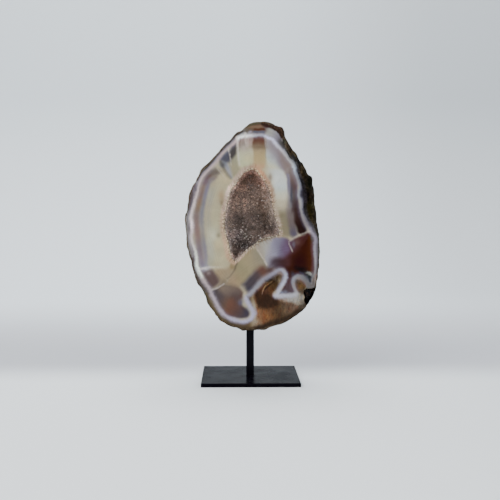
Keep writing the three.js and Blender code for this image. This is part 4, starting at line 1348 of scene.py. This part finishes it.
studio = {
    "floorFront": -1.9, "floorBack": 0.95, "curve": 0.45, "wallTop": 2.4, "halfWidth": 2.4,        # metres
    "floorColour": (0.76, 0.80, 0.825),        # shares of light reflected
    "farColour": (0.745, 0.80, 0.84),
    "floorShadeColour": (0.45, 0.465, 0.5),        # painted shade: a darker band where the light on the floor falls off behind the stand
    "floorShadeFrom": (-0.03, 0.1), "floorShadeTo": (0.15, 0.8),        # metres behind the post
    "asideColour": (0.58, 0.62, 0.65), "asideFrom": 0.0, "asideTo": 0.55,        # the right side has less light
    "worldColour": (0.63, 0.65, 0.68),
    "worldStrength": 0.5,
    "lights": [        # name, place, target and size in metres, power in watts, colour
        ("key", (-1.1, -1.3, 1.5), (0, 0, 0.15), (1.2, 1.2), 32.0, (1.0, 0.99, 0.97)),
        ("fill", (1.6, -1.0, 1.1), (0, 0, 0.15), (1.2, 1.2), 10.0, (0.95, 0.97, 1.0)),
        ("front", (-0.5, -2.0, 1.1), (0, 0, 0.15), (1.4, 0.8), 14.0, (1.0, 1.0, 1.0)),
        ("top", (0.0, 0.7, 2.3), (0, 0.9, 0.3), (2.4, 1.6), 76.0, (0.98, 0.99, 1.0)),
    ],
}


def makeSweep():
    # floor, a quarter circle and a wall as one profile, carried straight across
    turn = np.linspace(0, math.pi / 2, 25)
    curve = np.stack([studio["floorBack"] + studio["curve"] * np.sin(turn), studio["curve"] * (1 - np.cos(turn))], -1)
    profile = np.vstack([[(studio["floorFront"], 0)], curve, [(curve[-1, 0], studio["wallTop"])]])
    sides = np.array([-1.0, 1.0]) * studio["halfWidth"]
    points = np.array([(x, y, z) for y, z in profile for x in sides]) / mm
    k = np.arange(len(profile) - 1) * 2
    quads = np.stack([k, k + 1, k + 3, k + 2], -1)
    sweep = buildMesh("sweep", points, quads, np.zeros((0, 3), int))
    material, tree, shader = newMaterial("sweepPaper", Roughness=0.85, Specular_IOR_Level=0.15)
    right, depth, _ = parted(tree, objectPlace(tree))
    body = mixColour(tree, rampValue(tree, depth, 0.0, 0.6), (*studio["floorColour"], 1), (*studio["farColour"], 1))
    aside = rampValue(tree, right, studio["asideFrom"], studio["asideTo"])
    body = mixColour(tree, aside, body, (*studio["asideColour"], 1))
    # painted shade: the floor is laid darker in a band just behind the stand
    dim = product(tree, rampValue(tree, depth, *studio["floorShadeFrom"]), rampValue(tree, depth, *studio["floorShadeTo"], 1.0, 0.0))
    connect(tree, shader, mixColour(tree, dim, body, (*studio["floorShadeColour"], 1)))
    sweep.data.materials.append(material)


def addLight(name, place, target, size, power, colour):
    # an area light turned from its place towards its target
    data = bpy.data.lights.new(name, "AREA")
    data.shape, data.size, data.size_y = "RECTANGLE", size[0], size[1]
    data.energy = power
    data.color = colour
    lamp = bpy.data.objects.new(name, data)
    lamp.location = place
    away = np.array(place) - np.array(target)
    flat = math.hypot(away[0], away[1])
    lamp.rotation_euler = (math.atan2(flat, away[2]), 0, math.atan2(away[0], -away[1]))
    bpy.context.scene.collection.objects.link(lamp)


makeSweep()
for light in studio["lights"]:
    addLight(*light)
world = bpy.data.worlds.new("studio")
bpy.context.scene.world = world
world.use_nodes = True
background = world.node_tree.nodes["Background"]
background.inputs["Color"].default_value = (*studio["worldColour"], 1)
background.inputs["Strength"].default_value = studio["worldStrength"]
print("studio lit")
